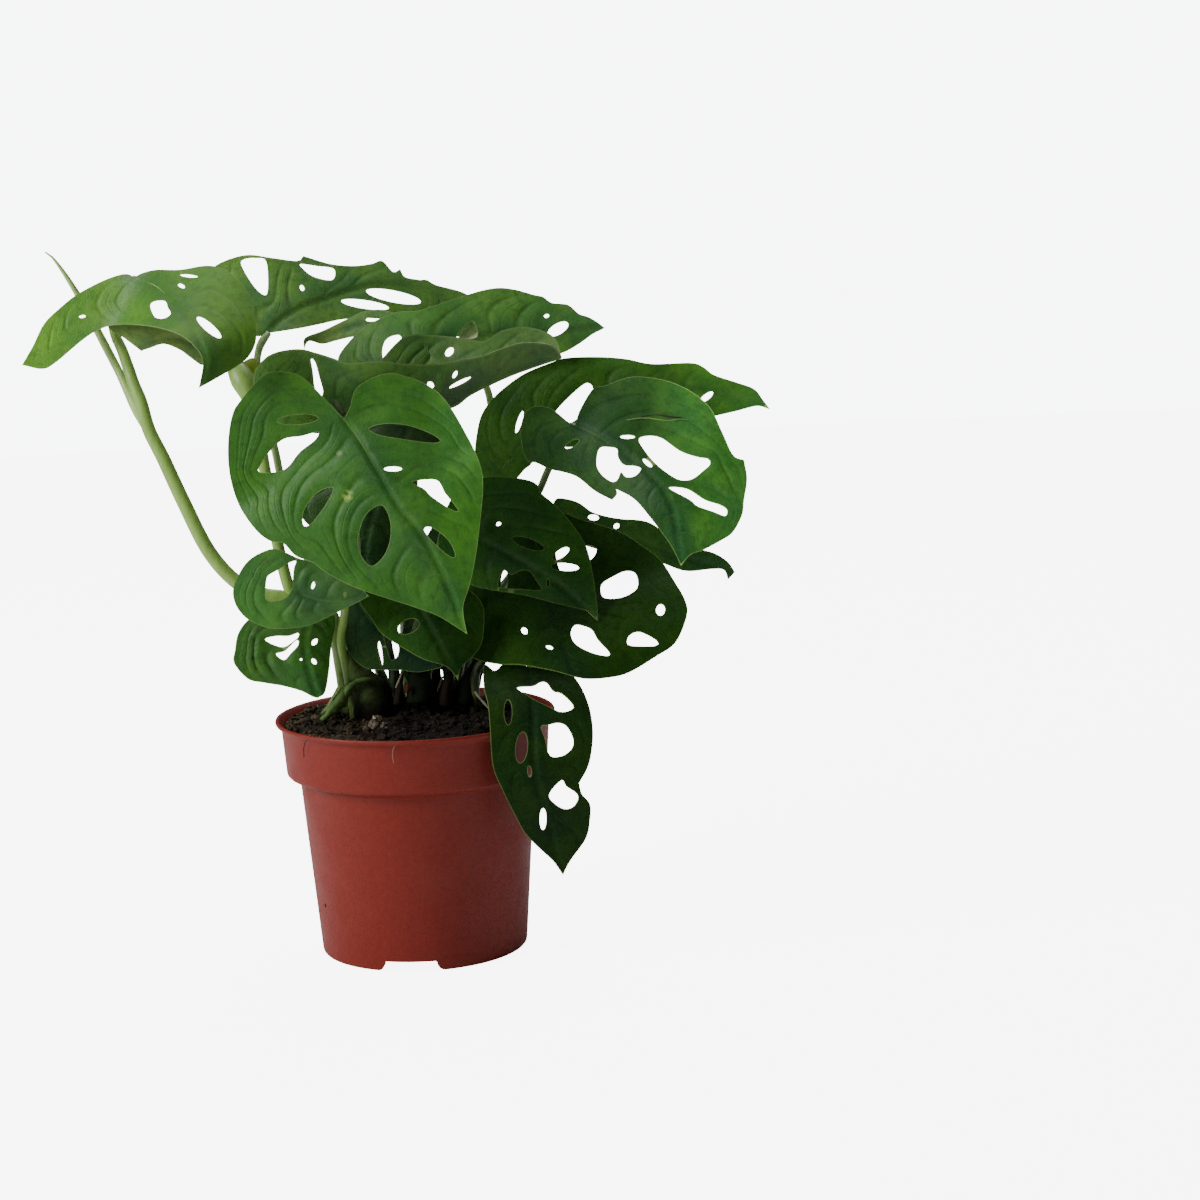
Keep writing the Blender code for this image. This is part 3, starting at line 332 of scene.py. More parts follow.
plastic, tree, shader = new_material("terracotta_plastic", gloss=0.25)
colour = mix_colours(tree, patches(tree, 420.0, 3.0, 0.3, 0.7), scaled(TERRACOTTA, 0.94),
                     scaled(TERRACOTTA, 1.06))
dust = worked(tree, "MULTIPLY", patches(tree, 38.0, 4.0, 0.5, 0.75), 0.08)
feed(tree, shader.inputs["Base Color"], mix_colours(tree, dust, colour, DUSTY_RED))
feed(tree, shader.inputs["Roughness"], mapped(tree, grain(tree, 60.0, 3.0), 0.3, 0.7, 0.46, 0.58))
bumped(tree, grain(tree, 1300.0, 2.0), 0.00012)
pot.data.materials.append(plastic)
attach(pot, "root")
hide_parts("pot")

# Soil
# Brown fibrous peat that fills the pot to a few millimetres under its rim, heaped up a little
# round the stalks. It is turned as one disc, and its top is raised into lumps and crumbs.
SOIL_SIDES = 220
SOIL_EDGE = 99.5
SOIL_CROWN = 4.0
SOIL_LUMPS = 1.6
SOIL_LUMP_SIZE = 13.0
SOIL_MIDDLE = 0.5
SOIL_REACH = 56.4
SOIL_RINGS = 62
HEAP = 3.0
HEAP_REACH = 19.0
HEAP_PLACE = (-4.0, 8.0)
SOIL_BELOW = [(54.8, 82.0), (49.4, 78.5), (43.6, 8.2), (SOIL_MIDDLE, 8.0)]
COLLAR_TOP_RADIUS = 58.5
CRUMB_LAYER = 5.0
CRUMB_SIZES = (4.2, 2.1, 0.9)
CRUMB_HEIGHTS = (1.3, 1.1, 0.45)
# Painted shade on the peat begins and is full at these places across, in metres.
SHADE_AT_RIGHT_FROM = -0.034
SHADE_AT_RIGHT_TO = -0.006


def soil_height(across, back):
    """Height of the heaped and lumpy top of the soil, in mm."""
    reach = (across ** 2 + back ** 2) / COLLAR_TOP_RADIUS ** 2
    lump = noise.noise(Vector((across, back, 0.0)) / SOIL_LUMP_SIZE)
    heap = (across - HEAP_PLACE[0]) ** 2 + (back - HEAP_PLACE[1]) ** 2
    return (SOIL_EDGE + SOIL_CROWN * (1 - reach) + SOIL_LUMPS * lump
            + HEAP * exp(-heap / HEAP_REACH ** 2))


def crumbled(across, back):
    """Height of the soil's top with its crumbs, in mm."""
    coarse, middle, fine = [noise.noise(Vector((across, back, CRUMB_LAYER)) / size)
                            for size in CRUMB_SIZES]
    return (soil_height(across, back) + CRUMB_HEIGHTS[0] * coarse + CRUMB_HEIGHTS[1] * abs(middle)
            + CRUMB_HEIGHTS[2] * fine)


def along_axis(tree, axis):
    """How far a point of the piece lies along an axis, in metres."""
    place = tree.nodes.new("ShaderNodeTexCoord")
    parts = tree.nodes.new("ShaderNodeSeparateXYZ")
    tree.links.new(place.outputs["Object"], parts.inputs["Vector"])
    return parts.outputs[axis]


def earth_material(name, dark, light, pale, amount):
    """A dull crumbly material: three browns, a share of pale grains, painted shade at the right."""
    material, tree, shader = new_material(name, 0.95, 0.2)
    colour = mix_colours(tree, patches(tree, 260.0, 6.0, 0.35, 0.7), dark, light)
    colour = mix_colours(tree, patches(tree, 45.0, 2.0, 0.35, 0.65, 0.7), colour, dark)
    # Painted shade: the colour turns darker toward the right side of the pot.
    shade_at_right = mapped(tree, along_axis(tree, "X"), SHADE_AT_RIGHT_FROM, SHADE_AT_RIGHT_TO, 0.0, 0.85)
    colour = mix_colours(tree, shade_at_right, colour, scaled(dark, 0.4))
    specks = patches(tree, 620.0, 2.0, 0.72 - amount, 0.8 - amount)
    feed(tree, shader.inputs["Base Color"], mix_colours(tree, specks, colour, pale))
    bumped(tree, grain(tree, 900.0, 5.0), 0.0012)
    return material


soil_profile = [(SOIL_MIDDLE + (SOIL_REACH - SOIL_MIDDLE) * i / SOIL_RINGS, SOIL_EDGE)
                for i in range(SOIL_RINGS + 1)]
soil = turned_piece("new_soil", soil_profile + SOIL_BELOW, SOIL_SIDES)
for vert in soil.data.vertices:
    if vert.co.z > (SOIL_EDGE - 1.0) * MM:
        vert.co.z = crumbled(vert.co.x / MM, vert.co.y / MM) * MM
bpy.ops.object.shade_smooth()
PEAT = earth_material("peat", (0.013, 0.009, 0.006), (0.065, 0.045, 0.025),
                      (0.16, 0.12, 0.07), 0.04)
soil.data.materials.append(PEAT)
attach(soil, "root")
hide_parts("soil")

# Crumbs
# Loose crumbs of the same peat that lie on the soil, with one pale lump among them: small rough
# rock shapes, strewn all over, and heaped between the stalks and along the left side of the rim.
SOIL_SEEN = 0.003
CRUMB_ROUGH = 0.5
CRUMB_KNOBS = 1.6
CRUMB_TILT = 0.6
CRUMB_SUNK = 0.25
HEAP_TOP = 5.0
LUMP_TOP = 4.0
RIM_FROM = 53.0
RIM_TO = 56.0
draw = np.random.default_rng(7)


def on_soil(across, down):
    """Place on the soil of a point of the picture, across and back in mm."""
    near, far = spots([(across, down)] * 2, [-60.0, 60.0])
    share = (near[2] - SOIL_EDGE * MM - SOIL_SEEN) / (near[2] - far[2])
    return np.array((near + (far - near) * share)[:2] / MM)


def scatter(name, subdivisions, places, sizes, material, lifts=None):
    """Many rough crumbs in one object, each a small rock shape turned its own way."""
    lifts = np.zeros(len(sizes)) if lifts is None else lifts
    bpy.ops.object.select_all(action="DESELECT")
    bpy.ops.mesh.primitive_ico_sphere_add(subdivisions=subdivisions, radius=1.0)
    ball = bpy.context.object
    shape = np.array([vert.co for vert in ball.data.vertices])
    faces = np.array([face.vertices for face in ball.data.polygons])
    bpy.data.objects.remove(ball)
    points = []
    for (across, back), size, lift in zip(places, sizes, lifts):
        start = Vector((across, back, 0.0))
        rough = np.array([1 + CRUMB_ROUGH * noise.noise(Vector(p) * CRUMB_KNOBS + start)
                          for p in shape])
        turn = Matrix.Rotation(draw.uniform(0, 2 * pi), 3, "Z")
        turn = turn @ Matrix.Rotation(draw.uniform(-CRUMB_TILT, CRUMB_TILT), 3, "X")
        stretch = np.array((draw.uniform(0.8, 1.5), draw.uniform(0.7, 1.1), 0.7))
        lump = (shape * rough[:, None] * stretch * size) @ np.array(turn).T
        height = crumbled(across, back) + CRUMB_SUNK * size + lift
        points.append(lump + np.array((across, back, height)))
    all_faces = np.vstack([faces + len(shape) * i for i in range(len(points))])
    mesh = bpy.data.meshes.new(name)
    mesh.from_pydata((np.vstack(points) * MM).tolist(), [], all_faces.tolist())
    mesh.materials.append(material)
    crumbs = linked(name, mesh)
    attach(crumbs, "root")


def strewn(count, reach):
    """Random places spread evenly over the soil out to a reach in mm."""
    turns = draw.uniform(0, 2 * pi, count)
    spans = reach * np.sqrt(draw.uniform(0, 1, count))
    return np.column_stack([spans * np.cos(turns), spans * np.sin(turns)])


def heap_up(name, count, middle, spread, largest, least):
    """A heap of dark crumbs, darkened as painted shade, round a place and highest in its middle."""
    loose = draw.normal(0, 1, (count, 2))
    loose = loose[np.linalg.norm(loose, axis=1) < 2.0]
    top = HEAP_TOP * np.exp(-np.linalg.norm(loose, axis=1) ** 2)
    scatter(name, 1, middle + loose * spread, draw.uniform(0.7, largest, len(loose)),
            CRUMB_DARK, top * draw.uniform(least, 1.0, len(loose)))


CRUMB_BROWN = earth_material("crumb_brown", (0.03, 0.021, 0.012), (0.12, 0.085, 0.048),
                             (0.24, 0.19, 0.12), 0.06)
# Near black: dark peat, made darker still as painted shade for the heap between the stalks.
CRUMB_DARK = earth_material("crumb_dark", (0.004, 0.003, 0.0025), (0.018, 0.012, 0.008),
                            (0.05, 0.035, 0.025), 0.02)
CRUMB_PALE = earth_material("crumb_pale", (0.12, 0.09, 0.06), (0.3, 0.25, 0.18),
                            (0.45, 0.4, 0.32), 0.15)
scatter("crumbs_small", 1, strewn(900, 54.5), draw.uniform(0.45, 1.2, 900), CRUMB_BROWN)
scatter("crumbs_large", 2, strewn(130, 52.5), draw.uniform(1.2, 2.6, 130), PEAT)
heap_up("crumbs_heaped", 900, on_soil(428, 706), (15.0, 8.5), 1.7, 0.2)
lump = np.clip(draw.normal(0, 1, (60, 2)), -1.8, 1.8)
scatter("pale_lump", 2, on_soil(376, 728) + lump * (2.6, 2.0), draw.uniform(0.7, 1.6, 60),
        CRUMB_PALE, LUMP_TOP * np.exp(-np.linalg.norm(lump, axis=1) ** 2))
scatter("crumbs_at_stalks", 1, on_soil(352, 718) + draw.normal(0, 2.8, (60, 2)) * (1.6, 0.8),
        draw.uniform(0.6, 1.5, 60), PEAT, draw.uniform(0.0, 2.2, 60))
scatter("brown_lump", 2, on_soil(303, 718) + draw.normal(0, 3.5, (30, 2)),
        draw.uniform(0.8, 2.0, 30), CRUMB_BROWN)
heap_up("crumbs_at_base", 220, on_soil(370, 714), (6.5, 3.0), 1.6, 0.3)
turns = draw.uniform(radians(120), radians(240), 300)
spans = draw.uniform(RIM_FROM, RIM_TO, 300)
scatter("crumbs_at_rim", 1, np.column_stack([spans * np.cos(turns), spans * np.sin(turns)]),
        draw.uniform(0.7, 1.4, 300), CRUMB_BROWN, (spans - RIM_FROM) * draw.uniform(0.1, 0.75, 300))

# Large front leaf
# The newest full-sized blade: heart-shaped, glossy mid green, with a sunken pale midrib, holes in
# two rows and a thin pale margin. It hangs on its stalk in front of all the others. Every blade is
# made as it is: a thin sheet drawn in points of the picture, each set at a depth, and quilted.

# Points of the picture to a mm, and the sizes that are given in such points. All others are in mm.
UNITS_PER_MM = 2.32
EDGE_STEP = 2.4
INNER_STEP = 2.9
FOLLOW = 14.0
RIB_CLEAR = 1.0
MIDRIB_CLEAR = 2.0

SLOT_POINTS = 24
CREASE = 2.0
NO_SLOPE = ((0, 1), (0, 1))
BLADE_THICKNESS = 0.45
BLADE_SHARP = radians(50)
LOBE_REACH = 17.0
VEIN_LEAN = -0.12
VEIN_CURL = 1.5
VEIN_SPACING = 17.0
VEIN_WOBBLE = 0.13
HOLE_PULL = 0.9
HOLE_REACH = 6.0
QUILT = 0.4
UNEVEN = 0.9
VEIN_PINCH = 0.3
VEIN_PINCH_WIDTH = 0.08
BLISTERS = 0.5
BLISTER_SIZE = 6.5
SWELLS = 1.1
SWELL_SIZE = 22.0
CALM_BY_RIB = 7.0
CALM_BY_RIM = 3.0
FULL_QUILT = 0.45
EDGE_QUILT = 0.15
LOBE_QUILT = 0.3
LOBE_LENGTH = 30.0
BASE_LENGTH = 12.0
GROOVE = 0.5
GROOVE_WIDTH = 1.1
GROOVE_END = 2.0
MIDRIB_RADIUS = 0.7
MIDRIB_TIP = 0.25
MIDRIB_BEHIND = 0.7
MIDRIB_SIDES = 8
STALK_FOOT = 90.0
STALK_STRAIGHT_TOP = 107.0
STALK_STEP = 2.5
STALK_TAPER = 5.0
STALK_SIDES = 12
STALK_RADII = (1.8, 1.1)
STALK_BEHIND = 1.3
BASE_SWELL = 1.1
BASE_REACH = 14.0
KNEE = 0.2
KNEE_PLACE = 5.0
KNEE_LENGTH = 3.5
VEIN_GREEN = (0.13, 0.3, 0.04)
MARGIN_GREEN = (0.25, 0.37, 0.11)
UNDERSIDE = (0.11, 0.2, 0.07)
DARK_AT_FOOT = (0.009, 0.007, 0.004)


def smooth_run(points, step):
    """Even points on a smooth curve through the given ones, ends included."""
    points = np.asarray(points, float)
    padded = np.vstack([2 * points[0] - points[1], points, 2 * points[-1] - points[-2]])
    run = [points[:1]]
    for before, start, end, after in zip(padded, padded[1:], padded[2:], padded[3:]):
        count = max(1, round(float(np.linalg.norm(end - start)) / step))
        t = np.arange(1, count + 1)[:, None] / count
        run.append(0.5 * (2 * start + (end - before) * t
                          + (2 * before - 5 * start + 4 * end - after) * t * t
                          + (3 * start - before - 3 * end + after) * t ** 3))
    return np.vstack(run)


def closed_outline(edge, step):
    """Outline through the edge's points, smooth except at its marked corners."""
    corners = [i for i, point in enumerate(edge) if len(point) == 3]
    turned = edge[corners[0]:] + edge[:corners[0] + 1]
    outline = []
    run = []
    for i, point in enumerate(turned):
        run.append(point[:2])
        if i and len(point) == 3:
            outline.append(smooth_run(run, step)[:-1])
            run = run[-1:]
    return np.vstack(outline)


def hole_ring(hole):
    """Points round one hole: an ellipse for a slot, or a smooth ring through its own points."""
    if isinstance(hole, list):
        ring = smooth_run(hole[-1:] + hole + hole[:2], EDGE_STEP)
        away = np.linalg.norm(ring - np.array(hole[0]), axis=1)
        return ring[int(np.argmin(away)):len(ring) - 1 - int(np.argmin(away[::-1]))]
    start = np.array(hole[:2], float)
    end = np.array(hole[2:4], float)
    along = (end - start) / 2
    across = np.array((-along[1], along[0])) / np.linalg.norm(along) * hole[4] / 2
    turns = 2 * pi * np.arange(SLOT_POINTS)[:, None] / SLOT_POINTS
    return (start + end) / 2 + along * np.cos(turns) + across * np.sin(turns)


def inside(points, ring):
    """True for each flat point that lies inside a ring."""
    odd = np.zeros(len(points), bool)
    for (x0, y0), (x1, y1) in zip(ring, np.roll(ring, -1, axis=0)):
        if y0 != y1:
            crossed = (y0 > points[:, 1]) != (y1 > points[:, 1])
            odd ^= crossed & (points[:, 0] < x0 + (points[:, 1] - y0) * (x1 - x0) / (y1 - y0))
    return odd


def on_sheet(points, outline, holes):
    """True for each flat point that lies inside the outline and in none of the holes."""
    kept = inside(points, outline)
    for hole in holes:
        kept &= ~inside(points, hole)
    return kept


def nearness(points, line, closed):
    """Distance from each flat point to a line of points."""
    start = line if closed else line[:-1]
    end = np.roll(line, -1, axis=0) if closed else line[1:]
    least = np.full(len(points), 1e9)
    for a, b in zip(start, end):
        span = b - a
        t = np.clip(((points - a) @ span) / max(float(span @ span), 1e-9), 0.0, 1.0)
        least = np.minimum(least, np.linalg.norm(points - a - t[:, None] * span, axis=1))
    return least


def fill_points(outline, holes, rib):
    """Points of an even triangular grid inside an outline, clear of its edges."""
    low = outline.min(axis=0)
    high = outline.max(axis=0)
    row_step = INNER_STEP * sqrt(3) / 2
    rows = int((high[1] - low[1]) / row_step) + 1
    columns = int((high[0] - low[0]) / INNER_STEP) + 1
    row, column = np.divmod(np.arange(rows * columns), columns)
    points = np.column_stack([low[0] + INNER_STEP / 2 * (row % 2) + column * INNER_STEP,
                              low[1] + row * row_step])
    points = points[on_sheet(points, outline, holes)]
    clear = nearness(points, rib, False)
    for ring in [outline] + holes:
        clear = np.minimum(clear, nearness(points, ring, True))
    return points[clear > 0.5 * INNER_STEP]


def blade_depths(points, rib, slope, crease):
    """Depth of a blade at flat points, from its midrib and the slopes on either side."""
    offsets = points[:, None, :] - rib[None, :, :2]
    spans = np.linalg.norm(offsets, axis=2)
    nearest = spans.argmin(axis=1)
    least = spans[np.arange(len(points)), nearest]
    weights = np.exp((least[:, None] ** 2 - spans ** 2) / FOLLOW ** 2)
    depth = (weights @ rib[:, 2]) / weights.sum(axis=1)
    ahead = rib[np.minimum(nearest + 1, len(rib) - 1), :2] - rib[np.maximum(nearest - 1, 0), :2]
    ahead /= np.linalg.norm(ahead, axis=1)[:, None]
    toward = offsets[np.arange(len(points)), nearest] / np.maximum(least, 1e-6)[:, None]
    side = ahead[:, 0] * toward[:, 1] - ahead[:, 1] * toward[:, 0]
    away = np.sqrt((least / UNITS_PER_MM) ** 2 + crease ** 2) - crease
    lifts = [rate * reach * np.tanh(away / reach) for rate, reach in slope]
    return depth + (lifts[0] * (1 + side) + lifts[1] * (1 - side)) / 2


def rib_places(points, rib):
    """For flat points: how far along the midrib, how far from it in mm, and on which side.

    Behind the leaf's base the first number goes on round the stalk, as the veins do there."""
    flat = rib[:, :2]
    steps = np.diff(flat, axis=0)
    lengths = np.linalg.norm(steps, axis=1)
    starts = np.concatenate([[0.0], np.cumsum(lengths)[:-1]])
    least = np.full(len(points), 1e9)
    along = np.zeros(len(points))
    side = np.zeros(len(points))
    for start, step, length, begun in zip(flat, steps, lengths, starts):
        offset = points - start
        t = np.clip(offset @ step / length ** 2, 0.0, 1.0)
        away = np.linalg.norm(offset - t[:, None] * step, axis=1)
        nearer = away < least
        least = np.where(nearer, away, least)
        along = np.where(nearer, begun + t * length, along)
        turned = step[0] * offset[:, 1] - step[1] * offset[:, 0]
        side = np.where(nearer, np.sign(turned), side)
    offset = points - flat[0]
    reach = np.maximum(np.linalg.norm(offset, axis=1), 1e-6)
    behind = np.arccos(np.clip(offset @ steps[0] / (reach * lengths[0]), -1.0, 1.0)) - pi / 2
    along = np.where((along <= 0.0) & (behind > 0), -LOBE_REACH * UNITS_PER_MM * behind, along)
    return along / UNITS_PER_MM, least / UNITS_PER_MM, side


def vein_phase(points, rib, outline, spacing):
    """Which lateral vein a flat point lies on, as a number that counts the veins.

    A vein leaves the midrib squarely and turns toward the tip as it nears the margin."""
    along, away, side = rib_places(points, rib)
    share = away / (away + nearness(points, outline, True) / UNITS_PER_MM + 0.01)
    ahead = away * (VEIN_LEAN + VEIN_CURL * share ** 2)
    return (along - ahead) / spacing + 0.25 * (1 + side), along, away


def unevenness(points, size):
    """Noise at flat points, of a size in mm."""
    return np.array([noise.noise(Vector((x, y, 0.0)) / UNITS_PER_MM / size) for x, y in points])


def make_sheet(name, outline, holes, rib, slope, crease, spacing, quilt):
    """One waved sheet with its holes, and where its veins and edges run as two UV maps."""
    inner_rib = rib[1:-1, :2]
    inner_rib = inner_rib[nearness(inner_rib, outline, True) > RIB_CLEAR]
    edges = []
    start = 0
    for ring in [outline] + holes:
        count = len(ring)
        edges += [(start + i, start + (i + 1) % count) for i in range(count)]
        start += count
    edges += [(start + i, start + i + 1) for i in range(len(inner_rib) - 1)]
    flat = np.vstack([outline] + holes + [inner_rib, fill_points(outline, holes, inner_rib)])
    made = geometry.delaunay_2d_cdt([Vector(p) for p in flat], edges, [], 1, 1e-4)
    points = np.array([tuple(p) for p in made[0]])
    faces = np.array([face for face in made[2] if len(face) == 3])
    faces = faces[on_sheet(points[faces].mean(axis=1), outline, holes)]
    used, faces = np.unique(faces, return_inverse=True)
    points = points[used]
    faces = faces.reshape(-1, 3)[:, ::-1]

    phase, along, away = vein_phase(points, rib, outline, spacing)
    swells, blisters = unevenness(points, SWELL_SIZE), unevenness(points, BLISTER_SIZE)
    phase += VEIN_WOBBLE * swells
    outer = nearness(points, outline, True) / UNITS_PER_MM
    rim = outer
    free = np.ones(len(points))
    pulls = np.full(len(points), 1e-9)
    aims = np.zeros(len(points))
    for hole in holes:
        gap = nearness(points, hole, True) / UNITS_PER_MM
        rim = np.minimum(rim, gap)
        pull = HOLE_PULL * np.exp(-(gap / HOLE_REACH) ** 2)
        free *= 1 - pull
        pulls += pull
        middle = vein_phase(hole, rib, outline, spacing)[0].mean()
        aims += pull * (np.round(middle - 0.5) + 0.5)
    phase = free * phase + (1 - free) * aims / pulls
    main = np.abs(phase - np.round(phase))
    bulge = (1 + UNEVEN * swells) * np.sin(pi * main)
    bulge = bulge - VEIN_PINCH * np.exp(-(main / VEIN_PINCH_WIDTH) ** 2)
    bulge += BLISTERS * blisters
    bulge *= np.clip(away / CALM_BY_RIB, 0.0, 1.0) * np.clip(rim / CALM_BY_RIM, 0.0, 1.0)
    bulge *= np.clip(outer / (FULL_QUILT * outer.max()), EDGE_QUILT, 1.0)
    bulge *= np.clip(along / LOBE_LENGTH + 1.0, LOBE_QUILT, 1.0)
    groove = GROOVE * np.exp(-(away / GROOVE_WIDTH) ** 2) * np.clip(rim / GROOVE_END, 0.0, 1.0)
    depth = blade_depths(points, rib, slope, crease)
    depth += groove - quilt * bulge
    depth += SWELLS * swells * np.clip(along / BASE_LENGTH + 1.0, 0.0, 1.0)
    mesh = bpy.data.meshes.new(name)
    mesh.from_pydata(spots(points, depth).tolist(), [], faces.tolist())
    corners = np.zeros(len(mesh.loops), int)
    mesh.loops.foreach_get("vertex_index", corners)
    for layer, values in (("veins", (phase, away)), ("edges", (rim, along))):
        uv = mesh.uv_layers.new(name=layer)
        uv.data.foreach_set("uv", np.column_stack(values)[corners].ravel())
    return linked(name, mesh)


def make_tube(name, places, radii, sides):
    """A round tube with closed ends along a line, bent and welded from a curve."""
    curve = bpy.data.curves.new(name, "CURVE")
    curve.dimensions = "3D"
    curve.bevel_depth = MM
    curve.bevel_resolution = sides // 2 - 2
    curve.use_fill_caps = True
    add_line(curve, places, radii)
    tube = welded(linked(name, curve))
    bpy.ops.object.shade_smooth()
    return tube


def join_pieces(pieces):
    """One object from several, named as the first."""
    bpy.ops.object.select_all(action="DESELECT")
    for piece in pieces:
        piece.select_set(True)
    bpy.context.view_layer.objects.active = pieces[0]
    if len(pieces) > 1:
        bpy.ops.object.join()
    return bpy.context.object


def grow_blade(name, leaf, green, under=UNDERSIDE, spacing=VEIN_SPACING, quilt=QUILT, **looks):
    """One leaf blade with its thickness and its midrib, in place of its CAD node."""
    upper, lower, cut_edge = blade_materials(name, green, under, **looks)
    rib = smooth_run(leaf["mid"], EDGE_STEP)
    halves = leaf.get("halves", [leaf])
    pieces = []
    for half in halves:
        if "halves" in leaf:
            edge = smooth_run([point[:2] for point in half["edge"]], EDGE_STEP)
            outline = np.vstack([rib[:, :2], edge[1:-1]])
            crease = 0.0
        else:
            outline = closed_outline(half["edge"], EDGE_STEP)
            crease = CREASE
        holes = [hole_ring(hole) for hole in half["holes"]]
        sheet = make_sheet("new_" + name, outline, holes, rib, half["slope"], crease, spacing,
                           quilt)
        for material in (upper, lower, cut_edge):
            sheet.data.materials.append(material)
        finished(sheet, "SOLIDIFY", thickness=BLADE_THICKNESS * MM, offset=0.0,
                 use_even_offset=True, material_offset=1, material_offset_rim=2)
        bpy.ops.object.shade_smooth_by_angle(angle=BLADE_SHARP)
        pieces.append(sheet)
    depths = blade_depths(rib[:, :2], rib, NO_SLOPE, CREASE) + GROOVE + MIDRIB_BEHIND
    depths += SWELLS * unevenness(rib[:, :2], SWELL_SIZE)
    radii = MIDRIB_RADIUS * np.linspace(1.0, MIDRIB_TIP, len(rib))
    clear = np.ones(len(rib), bool)
    for hole in [hole_ring(hole) for half in halves for hole in half["holes"]]:
        clear &= ~inside(rib[:, :2], hole) & (nearness(rib[:, :2], hole, True) > MIDRIB_CLEAR)
    begins = [i for i in range(len(rib)) if clear[i] and (i == 0 or not clear[i - 1])]
    for begin in begins:
        end = begin
        while end < len(rib) and clear[end]:
            end += 1
        if end - begin > 2:
            vein = make_tube("midrib", spots(rib[begin:end, :2], depths[begin:end]),
                             radii[begin:end], MIDRIB_SIDES)
            vein.data.materials.append(lower)
            pieces.append(vein)
    blade = join_pieces(pieces)
    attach(blade, "root")
    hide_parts(name)
    return blade


def stalk_line(leaf):
    """Even points of a leaf's stalk, from its foot to its end behind the blade."""
    rib = smooth_run(leaf["mid"], EDGE_STEP)
    depth = blade_depths(rib[:1, :2], rib, NO_SLOPE, CREASE)[0] + STALK_BEHIND
    stalk = np.array(leaf["stalk"] + [(rib[0, 0], rib[0, 1], depth)], float)
    ways = spots(stalk[:, :2], stalk[:, 2])
    if "root" not in leaf:
        return smooth_run(ways, STALK_STEP * MM)
    across, back = leaf["root"]
    foot = np.array([(across, back, STALK_FOOT), (across, back, STALK_STRAIGHT_TOP)]) * MM
    return np.vstack([foot[:1], smooth_run(np.vstack([foot[1:], ways]), STALK_STEP * MM)])


def grow_stalk(name, leaf, skin, radii=STALK_RADII, swell=BASE_SWELL, more=()):
    """One leaf stalk, thicker at its foot and at its knee under the blade, in place of its node."""
    line = stalk_line(leaf)
    along = np.linspace(0.0, 1.0, len(line))
    sizes = radii[0] + (radii[1] - radii[0]) * along ** STALK_TAPER
    if "root" in leaf:
        rises = np.maximum(0.0, line[:, 2] / MM - SOIL_EDGE)
        sizes = sizes + swell * np.exp(-(rises / BASE_REACH) ** 2)
    if "sheath" in leaf:
        *place, wider, spread = leaf["sheath"]
        away = np.linalg.norm(line - spots(place[:2], place[2:]), axis=1) / MM
        sizes = sizes + wider * np.exp(-(away / spread) ** 2)
    end = np.linalg.norm(line - line[-1], axis=1) / MM
    sizes = sizes * (1 + KNEE * np.exp(-((end - KNEE_PLACE) / KNEE_LENGTH) ** 2))
    stalk = make_tube("new_" + name, line, sizes, STALK_SIDES)
    stalk.data.materials.append(skin)
    stalk = join_pieces([stalk] + list(more))
    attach(stalk, "root")
    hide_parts(name)
    return stalk


def new_group(name, colours, values):
    """A pattern with colours and values for inputs, that gives a colour, roughness and height."""
    group = bpy.data.node_groups.new(name, "ShaderNodeTree")
    for kind, side, sockets in (("NodeSocketColor", "INPUT", colours),
                                ("NodeSocketFloat", "INPUT", values),
                                ("NodeSocketColor", "OUTPUT", ("Color",)),
                                ("NodeSocketFloat", "OUTPUT", ("Roughness", "Height"))):
        for socket in sockets:
            group.interface.new_socket(socket, in_out=side, socket_type=kind)
    given = group.nodes.new("NodeGroupInput").outputs
    out = group.nodes.new("NodeGroupOutput").inputs
    return group, given, out


def patterned(name, group, settings, bump, gloss=0.5):
    """A Principled material over a pattern, in the given colours and values."""
    material, tree, shader = new_material(name, gloss=gloss)
    pattern = tree.nodes.new("ShaderNodeGroup")
    pattern.node_tree = group
    for socket, value in settings.items():
        feed(tree, pattern.inputs[socket], value)
    feed(tree, shader.inputs["Base Color"], pattern.outputs["Color"])
    feed(tree, shader.inputs["Roughness"], pattern.outputs["Roughness"])
    bumped(tree, pattern.outputs["Height"], bump)
    return material


